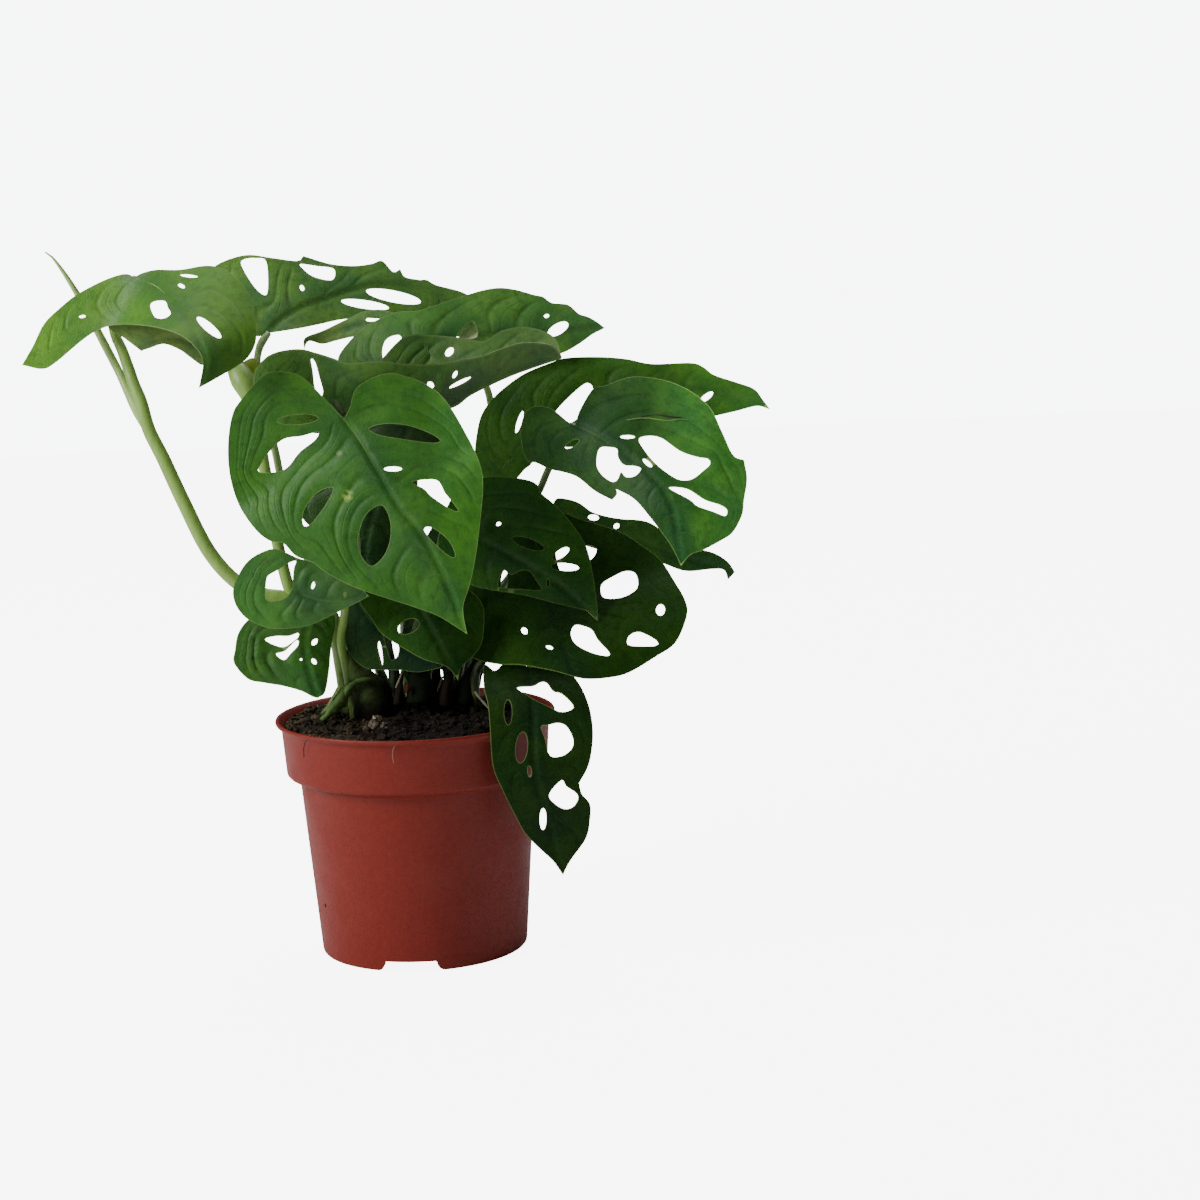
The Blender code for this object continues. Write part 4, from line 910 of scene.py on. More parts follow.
def leaf_surface_group():
    """Veins, quilted tissue, pale margin and blotches of a blade, from its two UV maps."""
    group, given, out = new_group(
        "leaf_surface", ("Tissue", "Groove Shade And Specks", "Cool And Valley Shade", "Yellow", "Veins", "Margin"),
        ("Groove Shade Amount", "Vein Strength", "Midrib Strength", "Midrib Reach", "Midrib Width",
         "Margin Width", "Yellowing", "Sheen", "Painted Light From", "Painted Light To", "Painted Light Gain"))

    def work(kind, first, second):
        return worked(group, kind, first, second)

    def fit(value, *ranges):
        return mapped(group, value, *ranges)

    split = []
    for layer in ("veins", "edges"):
        uv = group.nodes.new("ShaderNodeUVMap")
        uv.uv_map = layer
        parts = group.nodes.new("ShaderNodeSeparateXYZ")
        group.links.new(uv.outputs["UV"], parts.inputs["Vector"])
        split += [parts.outputs["X"], parts.outputs["Y"]]
    phase, away, rim, along = split
    wobble = work("MULTIPLY", work("SUBTRACT", grain(group, 90.0, 2.0), 0.5), 0.12)
    phase = work("ADD", phase, wobble)
    near_vein = work("PINGPONG", phase, 0.5)
    between = work("PINGPONG", work("ADD", phase, 0.5), 0.5)
    lateral = work("MULTIPLY", fit(near_vein, 0.006, 0.028, 1.0, 0.0), fit(rim, 1.5, 4.5, 0.0, 1.0))
    midrib = work("MULTIPLY", fit(work("DIVIDE", away, given["Midrib Width"]), 0.4, 1.0, 1.0, 0.0),
                  fit(work("DIVIDE", along, given["Midrib Reach"]), 0.4, 1.3, 1.0, 0.06))
    margin = fit(work("DIVIDE", rim, given["Margin Width"]), 0.2, 1.0, 1.0, 0.0)
    # Painted shade: the tissue darkens in the sunken veins and along the midrib; it also sinks
    # them.
    groove = work("MAXIMUM", fit(near_vein, 0.0, 0.2, 1.0, 0.0), fit(between, 0.0, 0.07, 0.35, 0.0))
    groove = work("MULTIPLY", groove, fit(rim, 0.5, 8.0, 0.0, 1.0))
    groove = work("MAXIMUM", groove, fit(away, 0.3, 2.8, 1.0, 0.0))
    blotch = patches(group, 60.0, 4.0, 0.4, 0.68)
    # Cool tone in random patches, and painted shade: darker and bluer toward the midrib's valley.
    cool_and_valley_shade = work("MAXIMUM", patches(group, 31.0, 2.0, 0.4, 0.65, 0.7),
                fit(away, 0.0, 15.0, 1.1, 0.0))
    speck = grain(group, 330.0, 4.0)
    cells = group.nodes.new("ShaderNodeTexVoronoi")
    cells.feature = "DISTANCE_TO_EDGE"
    cells.inputs["Scale"].default_value = 520.0
    place = group.nodes.new("ShaderNodeTexCoord")
    group.links.new(place.outputs["Object"], cells.inputs["Vector"])
    net = fit(cells.outputs["Distance"], 0.0, 0.12, 1.0, 0.0)

    colour = given["Tissue"]
    for amount, share, over in (
            (groove, given["Groove Shade Amount"], "Groove Shade And Specks"), (cool_and_valley_shade, 0.75, "Cool And Valley Shade"),
            (blotch, given["Yellowing"], "Yellow"), (net, 0.07, "Veins"),
            (fit(speck, 0.45, 0.72, 0.0, 1.0), 0.4, "Groove Shade And Specks"),
            (lateral, given["Vein Strength"], "Veins"), (midrib, given["Midrib Strength"], "Veins"),
            (margin, 1.0, "Margin")):
        colour = mix_colours(group, work("MULTIPLY", amount, share), colour, given[over])
    # Painted light and shade: the colour is made lighter or darker across the plant, as light
    # falls.
    change = fit(along_axis(group, "X"), given["Painted Light From"], given["Painted Light To"], 1.0,
                 given["Painted Light Gain"])
    gain = group.nodes.new("ShaderNodeVectorMath")
    gain.operation = "SCALE"
    group.links.new(colour, gain.inputs[0])
    group.links.new(change, gain.inputs["Scale"])
    group.links.new(gain.outputs["Vector"], out["Color"])
    rough = work("ADD", work("MULTIPLY", speck, 0.16), given["Sheen"])
    group.links.new(work("ADD", rough, work("MULTIPLY", blotch, 0.06)), out["Roughness"])
    height = work("ADD", work("MULTIPLY", groove, -0.5), work("MULTIPLY", net, -0.08))
    group.links.new(work("ADD", height, work("MULTIPLY", speck, 0.1)), out["Height"])
    return group


LEAF_SURFACE = leaf_surface_group()


# depth is the amount of painted shade in the vein grooves.
def leaf_material(name, tissue, groove_shade_and_specks, cool_and_valley_shade, yellow, veins, margin, depth=0.5, vein=0.12,
                  midrib=0.15, reach=20.0, width=0.5, edge=0.3, yellowing=0.42, sheen=0.4,
                  gloss=0.3, change=(0.0, 0.1, 1.0)):
    """One side of a blade, in its colours, with painted light and shade across the plant."""
    settings = {"Tissue": tissue, "Groove Shade And Specks": groove_shade_and_specks, "Cool And Valley Shade": cool_and_valley_shade, "Yellow": yellow,
                "Veins": veins, "Margin": margin, "Groove Shade Amount": depth, "Vein Strength": vein,
                "Midrib Strength": midrib, "Midrib Reach": reach, "Midrib Width": width,
                "Margin Width": edge, "Yellowing": yellowing, "Sheen": sheen,
                "Painted Light From": change[0], "Painted Light To": change[1], "Painted Light Gain": change[2]}
    return patterned(name, LEAF_SURFACE, settings, 0.0004, gloss)


def blend_colours(first, second, share):
    """A colour that is one part of the way from the first to the second."""
    return tuple((1 - share) * one + share * other for one, other in zip(first, second))


def blade_materials(name, green, under, **looks):
    """Upper side, underside and cut edge of one blade."""
    # The cool colour gives random cool patches and the painted shade of the valley by the midrib.
    cool_and_valley_shade = (green[0] * 0.5, green[1] * 0.58, green[2] * 1.2 + 0.003)
    yellow = (green[0] * 2.1 + 0.002, green[1] * 1.55, green[2] * 1.1)
    # The green at 0.4 is painted shade for the vein grooves, and the colour of dark specks.
    upper = leaf_material(name + "_upper", green, scaled(green, 0.4), cool_and_valley_shade, yellow,
                          blend_colours(green, VEIN_GREEN, 0.55),
                          blend_colours(green, MARGIN_GREEN, 0.6), **looks)
    lower = leaf_material(name + "_under", under, scaled(under, 0.75), scaled(under, 0.85),
                          scaled(under, 1.2), scaled(under, 1.5), MARGIN_GREEN, depth=0.25,
                          vein=0.5, midrib=0.9, reach=80.0, sheen=0.45)
    return upper, lower, CUT_EDGE


def plain_material(name, colour, roughness, gloss=0.4):
    """A Principled material whose colour varies a little in patches."""
    material, tree, shader = new_material(name, roughness, gloss)
    patchy = mix_colours(tree, grain(tree, 150.0, 2.0), scaled(colour, 0.75), scaled(colour, 1.2))
    feed(tree, shader.inputs["Base Color"], patchy)
    return material


def stalk_skin_group():
    """Colour of a stalk from its foot upward, with long streaks and small specks."""
    group, given, out = new_group("stalk_skin", ("Low", "High"), ("Low Height", "High Height"))
    height = along_axis(group, "Z")
    rise = mapped(group, height, given["Low Height"], given["High Height"], 0.0, 1.0)
    streak = grain(group, 700.0, 2.0, (1.0, 1.0, 0.12))
    colour = mix_colours(group, rise, given["Low"], given["High"])
    other = mix_colours(group, rise, given["High"], given["Low"])
    for amount, over in (
            (worked(group, "MULTIPLY", mapped(group, streak, 0.3, 0.7, 0.0, 1.0), 0.35), other),
            (worked(group, "MULTIPLY", patches(group, 60.0, 2.0, 0.4, 0.7), 0.3), given["High"]),
            (patches(group, 900.0, 1.0, 0.66, 0.75, 0.5), given["High"]),
            # The last mark turns the stalk darker toward its foot, below 113 mm over the floor.
            (mapped(group, height, 0.101, 0.113, 0.85, 0.0), DARK_AT_FOOT)):
        colour = mix_colours(group, amount, colour, over)
    group.links.new(colour, out["Color"])
    group.links.new(mapped(group, streak, 0.2, 0.8, 0.32, 0.5), out["Roughness"])
    group.links.new(streak, out["Height"])
    return group


STALK_SKIN = stalk_skin_group()


def stalk_material(name, low, high, low_height, high_height):
    """A stalk's skin, that goes from one colour at its foot to another at its top."""
    settings = {"Low": low, "High": high, "Low Height": low_height, "High Height": high_height}
    return patterned(name, STALK_SKIN, settings, 0.00007)


def on_blade(blade, across, down):
    """The point of a blade's face that one point of the picture shows."""
    near, far = spots([(across, down)] * 2, [-80.0, 0.0])
    verts = np.array([vert.co for vert in blade.data.vertices])
    share = np.clip((verts - near) @ (far - near) / np.sum((far - near) ** 2), 0.0, 1.0)
    found = np.linalg.norm(near + share[:, None] * (far - near) - verts, axis=1).argmin()
    return near + share[found] * (far - near)


def blemish(blade, across, down, reach, colour):
    """A small pale scar on the face of a blade at one point of the picture."""
    tree = blade.data.materials[0].node_tree
    target = tree.nodes["Principled BSDF"].inputs["Base Color"]
    place = tree.nodes.new("ShaderNodeTexCoord")
    away = tree.nodes.new("ShaderNodeVectorMath")
    away.operation = "DISTANCE"
    tree.links.new(place.outputs["Object"], away.inputs[0])
    away.inputs[1].default_value = on_blade(blade, across, down)
    scar = mapped(tree, away.outputs["Value"], 0.3 * reach * MM, reach * MM, 0.85, 0.0)
    amount = worked(tree, "MULTIPLY", scar, patches(tree, 550.0, 3.0, 0.35, 0.6))
    feed(tree, target, mix_colours(tree, amount, target.links[0].from_socket, colour))


CUT_EDGE = plain_material("leaf_cut_edge", (0.12, 0.24, 0.045), 0.45)
GREEN_STALK = stalk_material("stalk_green", (0.07, 0.13, 0.02), (0.24, 0.42, 0.09), 0.11, 0.22)
PALE_STALK = stalk_material("stalk_pale", (0.1, 0.185, 0.025), (0.25, 0.42, 0.085), 0.115, 0.165)
# Painted light: a stalk in the leaves' shade, painted pale at its top for light through it.
PAINTED_LIGHT_STALK = stalk_material("stalk_painted_light", (0.08, 0.14, 0.025), (0.42, 0.62, 0.24), 0.15, 0.25)
# Near black at the foot: dark green of its own, darkened further by painted shade among the stalks.
DARK_STALK = stalk_material("stalk_dark", (0.009, 0.012, 0.004), (0.085, 0.17, 0.03), 0.112, 0.23)


leaf_front = dict(
    mid=[(344, 419, -42), (360, 441, -47), (379, 474, -52), (398, 506, -56), (423, 537, -59),
         (443, 575, -61), (467, 634, -63)],
    edge=[(344, 419, 1), (324, 398), (308, 382), (293, 373), (266, 374), (241, 400), (232, 416),
          (228, 445), (230, 476), (239, 505), (255, 529), (270, 541), (283, 543), (296, 556),
          (312, 562), (327, 573), (354, 587), (386, 598), (411, 606), (436, 615), (450, 623),
          (467, 634, 1), (463, 608), (469, 587), (475, 560), (480, 522), (483, 483), (478, 459),
          (465, 432), (446, 401), (427, 385), (401, 375), (384, 374), (368, 380), (355, 390),
          (350, 407)],
    holes=[(318, 418, 277, 421, 10), (384, 469, 402, 469, 5),
           [(318, 432), (315, 440), (300, 452), (288, 467), (277, 472), (259, 472), (261, 464),
            (270, 451), (284, 439), (302, 436)],
           [(333, 488), (328, 501), (313, 522), (304, 526), (303, 514), (311, 499), (322, 490)],
           [(383, 506), (390, 521), (390, 540), (383, 557), (371, 566), (361, 555), (358, 540),
            (363, 520), (372, 509)],
           [(369, 429), (383, 424), (405, 425), (427, 432), (440, 440), (432, 443), (401, 439),
            (379, 435)],
           [(412, 482), (436, 480), (445, 493), (453, 503), (458, 511), (450, 509), (432, 497),
            (424, 489)],
           [(424, 529), (430, 527), (443, 535), (452, 546), (455, 557), (448, 555), (436, 545),
            (427, 535)]],
    slope=((0.05, 60), (0.15, 60)), root=(-26, -4),
    stalk=[(346, 668, -7), (341, 640, -12), (344, 616, -17), (350, 560, -26), (348, 480, -35)])
# The last numbers of each blade give its painted light and shade: from where, to where, how much.
blade = grow_blade("leaf_front", leaf_front, (0.03, 0.135, 0.008), quilt=0.33, depth=0.42,
                   midrib=0.7, sheen=0.44, change=(0.008, 0.02, 1.4))
blemish(blade, 348, 496, 3.4, (0.3, 0.42, 0.06))
blemish(blade, 339, 453, 1.8, (0.16, 0.25, 0.09))
grow_stalk("stalk_front", leaf_front, PALE_STALK)

# Young leaf at the upper left
# The youngest open blade, thin, soft and light green. It arches over at the end of the long
# stalk, which also carries the next leaf, still rolled up, and a young root near its foot.
leaf_top_left = dict(
    mid=[(135, 278, 8), (157, 287, -12), (173, 303, -30), (187, 318, -43), (198, 340, -54),
         (205, 362, -59), (199, 388, -62)],
    edge=[(135, 277, 1), (125, 274), (105, 280), (78, 294), (60, 308), (44, 324), (33, 346),
          (22, 365, 1), (42, 369), (55, 363), (80, 342), (96, 331), (115, 325), (149, 326),
          (178, 334), (195, 347), (203, 362), (199, 388, 1), (222, 375), (237, 366), (249, 356),
          (256, 340), (255, 320), (252, 301), (241, 283), (225, 270), (207, 266), (180, 270),
          (157, 270), (143, 273)],
    holes=[[(150, 305), (155, 301), (165, 301), (168, 308), (171, 314), (166, 318), (160, 319),
            (154, 316)],
           (79, 317, 86, 316, 3), (180, 275, 198, 277, 3.5), (178, 284, 185, 288, 4),
           (197, 317, 221, 338, 9)],
    slope=((-0.25, 80), (0.5, 60)), root=(-29, 5),
    stalk=[(345, 685, 3), (341, 662, 0), (337, 638, -2), (331, 619, -3), (315, 606, -4),
           (298, 601, -5), (280, 597, -6), (260, 594, -6), (234, 580, -6), (208, 550, -5),
           (184, 503, -3), (163, 458, -1), (149, 430, 1), (141, 402, 3), (134, 385, 5),
           (129, 370, 7), (122, 350, 9), (115, 334, 12), (113, 315, 14), (121, 293, 14)])
blade = grow_blade("leaf_top_left", leaf_top_left, (0.108, 0.304, 0.023), quilt=0.18, depth=0.3,
                   yellowing=0.25, change=(-0.155, -0.09, 0.6))

NEW_LEAF = [(150, 437, 1, 1.2), (138, 411, 4, 2.5), (130, 395, 6, 2.2), (123, 381, 8, 1.8),
            (118, 370, 10, 1.8), (107.5, 350, 12, 1.8), (97, 330, 13, 1.7),
            (79, 297, 14, 1.35), (64, 273, 14, 0.95), (52, 257, 14, 0.5), (45, 252, 14, 0.35)]
AERIAL_ROOT = [(342, 689, 4, 2.4), (335, 700, 2, 2.0), (328, 709, 1, 1.5), (322, 715, 0, 1.1)]


def branch(name, points, skin):
    """A branch through points with depths and radii in mm, to be joined to the stalk it leaves."""
    points = np.array(points, float)
    line = np.column_stack([spots(points[:, :2], points[:, 2]), points[:, 3] * MM])
    line = smooth_run(line, STALK_STEP * MM)
    made = make_tube(name, line[:, :3], line[:, 3] / MM, STALK_SIDES)
    made.data.materials.append(skin)
    return made


YOUNG_GREEN = stalk_material("rolled_leaf_pale", (0.2, 0.32, 0.06), (0.38, 0.55, 0.18), 0.18, 0.25)
rolled_leaf = branch("rolled_leaf", NEW_LEAF, YOUNG_GREEN)
aerial_root = branch("aerial_root", AERIAL_ROOT, PALE_STALK)
grow_stalk("stalk_top_left", leaf_top_left, PALE_STALK, radii=(3.2, 1.2),
           more=(rolled_leaf, aerial_root))

# Small leaf under the young one
# A narrow young blade seen from below, so that its pale matt underside faces the front. Its
# sheathed stalk branches from the foot of the long one.
leaf_left_behind = dict(
    mid=[(206, 350, 6), (180, 338, 6), (158, 341, 4), (141, 351, 2)],
    edge=[(206, 350, 1), (203, 365), (191, 358), (180, 350), (164, 344), (150, 348),
          (141, 351, 1), (124, 338), (108, 327), (124, 322), (148, 323), (172, 325), (192, 336)],
    holes=[],
    slope=((0.1, 60), (-0.2, 60)), sheath=(243, 379, -3, 3.1, 11.0),
    stalk=[(295, 600, -5.2), (289, 588, -6), (283, 567, -5), (278, 545, -5), (271, 505, -6),
           (264, 465, -6), (257, 425, -5), (249, 393, -4), (242, 379, -2), (232, 362, 3),
           (219, 353, 8)])
blade = grow_blade("leaf_left_behind", leaf_left_behind, (0.21, 0.35, 0.06),
                   under=(0.07, 0.18, 0.02), yellowing=0.2)
grow_stalk("stalk_left_behind", leaf_left_behind, PALE_STALK, radii=(2.6, 1.4))

# Back leaf with the notched edge
# A broad blade of light green tissue tilted back, so that its upper edge and torn holes show
# against the light. Its stalk stands in the peat with a swollen foot.
leaf_top_back = dict(
    mid=[(268, 333, 12), (281, 320, 20), (301, 308, 28), (326, 299, 35), (353, 290, 41),
         (380, 285, 47), (407, 286, 51), (434, 293, 54), (462, 308, 56), (484, 334, 57)],
    edge=[(268, 333, 1), (300, 328), (320, 324), (344, 319), (370, 318), (400, 321), (430, 329),
          (456, 336), (468, 339), (484, 334, 1), (484, 312), (466, 294), (436, 285), (427, 280),
          (420, 280, 1), (405, 277), (400, 269, 1), (393, 272), (382, 261), (371, 264),
          (353, 266), (330, 264), (303, 256, 1), (297, 261), (272, 258), (249, 255), (230, 259),
          (214, 267), (206, 280), (216, 302), (238, 324), (256, 336)],
    holes=[[(241, 264), (245, 259), (256, 258), (266, 261), (268, 284), (266, 295), (259, 292),
            (250, 281)],
           [(300, 264), (317, 266), (334, 269), (332, 280), (314, 277), (304, 270)],
           (301, 285, 303, 291, 4.5), (341, 301, 389, 308, 9), (366, 291, 421, 302, 12)],
    slope=((-0.45, 60), (0.4, 30)), root=(-24.5, 16),
    stalk=[(352, 668, 14), (346, 640, 12), (330, 606, 11), (308, 560, 9), (292, 515, 5),
           (281, 478, 1), (275, 450, 1), (265, 412, 4), (258, 381, 8), (257, 362, 10),
           (260, 346, 13)])
blade = grow_blade("leaf_top_back", leaf_top_back, (0.115, 0.295, 0.05), quilt=0.3, midrib=0.45,
                   reach=120.0, width=4.0)
grow_stalk("stalk_top_back", leaf_top_back, PAINTED_LIGHT_STALK, radii=(1.7, 1.5), swell=2.9)

# Narrow leaf end below it
# The end of a thin light green blade that shows between two others. Its stalk rises from the
# back of the soil.
leaf_top_small = dict(
    mid=[(402, 326, 30), (365, 325, 30), (335, 334, 29), (309, 338.5, 28), (304, 349, 27)],
    edge=[(402, 326, 1), (384, 333), (352, 337), (335, 341), (322, 344), (309, 341),
          (304, 349, 1), (305, 338), (322, 331), (345, 320), (365, 311), (385, 310), (398, 316)],
    holes=[(366, 320, 380, 318, 5)],
    slope=((0.0, 60), (0.0, 60)), root=(-13, 22),
    stalk=[(372, 640, 30), (352, 560, 34), (348, 480, 35), (352, 420, 35), (368, 375, 34),
           (374, 350, 33), (383, 333, 33)])
blade = grow_blade("leaf_top_small", leaf_top_small, (0.24, 0.46, 0.1), quilt=0.3, edge=0.6)
grow_stalk("stalk_top_small", leaf_top_small, PALE_STALK)

# Leaf at the top, right of the middle
# A mid green blade seen low over its surface, with a long pointed tip and a curled lower
# edge. Its green stalk leans out from the soil and bends back under it.
leaf_top_right = dict(
    mid=[(404, 354, 12), (425, 343, 13), (450, 338, 15), (495, 335, 18), (530, 334, 20),
         (570, 331, 22), (605, 328, 24)],
    edge=[(404, 354, 1), (425, 353), (440, 345), (456, 345), (472, 352), (505, 356), (540, 356),
          (562, 353), (579, 344), (593, 334), (605, 328, 1), (597, 322), (588, 317), (579, 314),
          (568, 305), (552, 303), (543, 297), (534, 295), (516, 290), (500, 288), (485, 290),
          (467, 295), (440, 304), (417, 311), (394, 313), (367, 326), (349, 342), (338, 359),
          (346, 370), (368, 377), (392, 372)],
    holes=[[(383, 358), (383, 346), (388, 338), (399, 335), (402, 342), (398, 353), (390, 360)],
           (548, 335, 568, 323, 11), (544, 317, 549, 315, 4),
           [(457, 338), (464, 327), (473, 322), (477, 337)]],
    slope=((-0.3, 60), (0.6, 60)), root=(-3, 15),
    stalk=[(448, 620, 24), (464, 570, 29), (478, 520, 35), (491, 440, 38), (489, 395, 34),
           (474, 372, 25), (438, 362, 18)])
blade = grow_blade("leaf_top_right", leaf_top_right, (0.06, 0.19, 0.024), quilt=0.32)
grow_stalk("stalk_top_right", leaf_top_right, GREEN_STALK)

# Folded leaf
# A blade folded up along its midrib like an open book, its two halves one behind the other:
# two sheets of glossy tissue on one pale midrib, at the end of a green stalk.
leaf_top_folded = dict(
    mid=[(349, 418, -20), (375, 417, -19), (410, 416, -18), (452, 407, -17), (470, 395, -16),
         (494, 383, -15), (515, 374, -14), (535, 367, -13), (562, 358, -12)],
    halves=[
        dict(edge=[(562, 358, 1), (554, 347), (541, 343), (521, 343), (500, 349), (485, 355),
                   (461, 360), (436, 364), (407, 364), (378, 361), (349, 363), (333, 358),
                   (317, 353), (299, 349), (277, 352), (263, 360), (253, 376), (258, 400),
                   (275, 422), (305, 432), (332, 432), (349, 418, 1)],
             holes=[[(311, 359), (315, 362), (319, 376), (323, 391), (321, 396), (315, 388),
                     (313, 372)],
                    (453, 378, 457, 371, 4), (449, 388, 471, 377, 4), (428, 382, 433, 388, 6)],
             slope=((-0.8, 10), (-0.8, 10))),
        dict(edge=[(562, 358, 1), (556, 340), (543, 331), (523, 327), (504, 330), (496, 334),
                   (485, 341), (472, 340), (454, 337), (427, 335), (404, 337), (381, 360),
                   (362, 382), (349, 418, 1)],
             holes=[(446, 356, 453, 348, 7),
                    [(452, 370), (462, 368), (477, 373), (471, 382), (451, 392), (444, 386)],
                    (430, 379, 431, 390, 9)],
             slope=((0.9, 24), (0.9, 24)))],
    root=(-9, 5),
    stalk=[(362, 620, 4), (356, 540, -2), (350, 480, -9), (348, 440, -15)])
blade = grow_blade("leaf_top_folded", leaf_top_folded, (0.115, 0.3, 0.05), midrib=0.95,
                   reach=200.0, edge=1.1, change=(-0.055, 0.02, 0.5))
grow_stalk("stalk_top_folded", leaf_top_folded, GREEN_STALK)

# Back leaf at the right
# A dark glossy blade, made lighter toward its tip by painted light, that reaches out to the right
# behind the torn one. Its dark stalk leans out from the soil.
leaf_right_back = dict(
    mid=[(540, 440, 16), (580, 412, 17), (640, 393, 18), (700, 391, 19), (740, 399, 19),
         (770, 409, 18)],
    edge=[(540, 440, 1), (572, 447), (600, 431), (640, 426), (690, 421), (715, 416), (737, 411),
          (757, 406), (770, 409, 1), (763, 400), (754, 389), (735, 382), (714, 375), (703, 367),
          (690, 363), (652, 364), (626, 359), (599, 357), (567, 358), (550, 363), (524, 374),
          (503, 389), (490, 402), (480, 419), (475, 449), (477, 466), (488, 482), (503, 487),
          (517, 478), (524, 470), (532, 463), (536, 449)],
    holes=[[(555, 414), (562, 404), (579, 388), (588, 383), (593, 389), (589, 402), (580, 416),
            (570, 423), (561, 421)],
           (523, 411, 516, 433, 5), (700, 402, 713, 392, 6)],
    slope=((-0.2, 60), (0.4, 60)), root=(6, 12.5),
    stalk=[(450, 620, 20), (480, 560, 23), (498, 505, 25), (507, 470, 23), (520, 452, 20)])
blade = grow_blade("leaf_right_back", leaf_right_back, (0.042, 0.155, 0.011), quilt=0.26,
                   change=(0.11, 0.145, 1.8))
grow_stalk("stalk_right_back", leaf_right_back, DARK_STALK)

# Torn leaf at the right
# A dark blade, made lighter toward its right by painted light, whose holes have torn into each
# other and through its lower edge. Above its midrib runs a healed tear, a pale lip over a slit
# painted dark as its shade. Its stalk leans far out.
TEAR_LIP = [(614, 423), (624, 420.5), (636, 418.5), (648, 418), (658, 419.5), (668, 420.5),
            (680, 419), (692, 420.5)]
TEAR_SLIT = [(640, 416.8), (650, 415.2), (660, 415), (670, 416.4), (682, 417.6)]
TEAR_STEP = 2.0
TEAR_PROUD = 0.55
TEAR_END = 0.15
TEAR_SIDES = 8
leaf_right_front = dict(
    mid=[(575, 425, -8), (592, 433, -14), (617, 448, -20), (641, 467, -26), (662, 488, -31),
         (673, 511, -35), (678, 540, -38), (681, 566, -40)],
    edge=[(575, 425, 1), (567, 421), (552, 409), (539, 406), (528, 410), (522, 421), (521, 438),
          (526, 459), (537, 463), (550, 469), (567, 473), (579, 478), (595, 491), (612, 500, 1),
          (617, 494), (616, 489, 1), (634, 499), (649, 516), (665, 537), (673, 549),
          (681, 566, 1), (690, 555), (703, 550), (722, 540), (733, 532), (742, 515), (744, 500),
          (747, 479), (744, 460, 1), (733, 455), (722, 432), (710, 408), (690, 391), (663, 380),
          (631, 377), (605, 386), (593, 389), (580, 410)],
    holes=[[(600, 448), (608, 447), (617, 449), (618, 457), (624, 465), (635, 466), (641, 469),
            (635, 476), (626, 477), (621, 472), (618, 479), (613, 482), (603, 476), (597, 467),
            (597, 456)],
           (643, 459, 652, 467, 4.5),
           [(639, 441), (646, 436), (661, 438), (680, 451), (697, 457), (708, 459), (710, 464),
            (704, 470), (692, 479), (680, 480), (667, 473), (652, 460)],
           (620, 437, 635, 437, 4),
           [(669, 488), (687, 489), (705, 500), (720, 505), (727, 510), (725, 516), (714, 512),
            (697, 506), (690, 500)],
           (565, 448, 579, 440, 6)],
    slope=((0.15, 60), (0.35, 60)), root=(15, -1),
    stalk=[(451, 650, -4), (456, 610, -7), (472, 562, -11), (502, 531, -10), (534, 499, -6),
           (549, 468, -3), (562, 444, -3)])


def healed(name, blade, line, radius, skin):
    """One thin line on a blade along points of the picture: a healed lip, and a slit's painted
    shade.
    """
    places = smooth_run([on_blade(blade, *point) for point in line], TEAR_STEP * MM)
    places -= np.array([0.0, TEAR_PROUD, 0.0]) * MM
    radii = radius * np.sin(np.linspace(TEAR_END, pi - TEAR_END, len(places)))
    tear = make_tube(name, places, radii, TEAR_SIDES)
    tear.data.materials.append(skin)
    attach(tear, "root")


blade = grow_blade("leaf_right_front", leaf_right_front, (0.0205, 0.084, 0.0105), sheen=0.42,
                   gloss=0.17, edge=0.3, change=(0.1, 0.13, 3.0))
healed("healed_tear_lip", blade, TEAR_LIP, 0.26,
       plain_material("healed_tear_pale", (0.2, 0.3, 0.08), 0.5))
# Painted shade: the slit under the lip is a thin dark tube, for the shade in it.
healed("healed_tear_slit", blade, TEAR_SLIT, 0.36,
       plain_material("healed_tear_painted_shade", (0.016, 0.026, 0.006), 0.6))
grow_stalk("stalk_right_front", leaf_right_front, DARK_STALK, radii=(1.7, 1.4))

# Dark leaf right of the front leaf
# A dark blade in the shade of the ones above it, with small holes along its lower half. It
# stands out from the top of a short upright stalk.
leaf_middle = dict(
    mid=[(446, 522, -12), (480, 540, -16), (520, 561, -20), (560, 586, -24), (598, 621, -27)],
    edge=[(446, 522, 1), (438, 540), (446, 565), (470, 584), (492, 590), (523, 595), (554, 603),
          (580, 609), (591, 612), (598, 621, 1), (597, 605), (593, 576), (587, 549), (575, 528),
          (556, 506), (542, 494), (535, 483), (516, 478), (488, 477), (470, 482), (457, 492),
          (447, 507)],
    holes=[(553, 559, 569, 548, 8), (551, 566, 579, 568, 8), (548, 579, 548, 587, 3),
           [(498, 585), (503, 570), (511, 575), (520, 571), (529, 571), (537, 582), (541, 590),
            (521, 589), (505, 588)],
           (512, 538, 544, 549, 10), (496, 525, 501, 523, 4)],
    slope=((-0.1, 60), (0.25, 60)), root=(0, -4),
    stalk=[(412, 650, -5), (425, 600, -7), (438, 550, -8)])
blade = grow_blade("leaf_middle", leaf_middle, (0.025, 0.119, 0.0085), change=(0.02, 0.036, 0.65),
                   gloss=0.2)
grow_stalk("stalk_middle", leaf_middle, DARK_STALK)

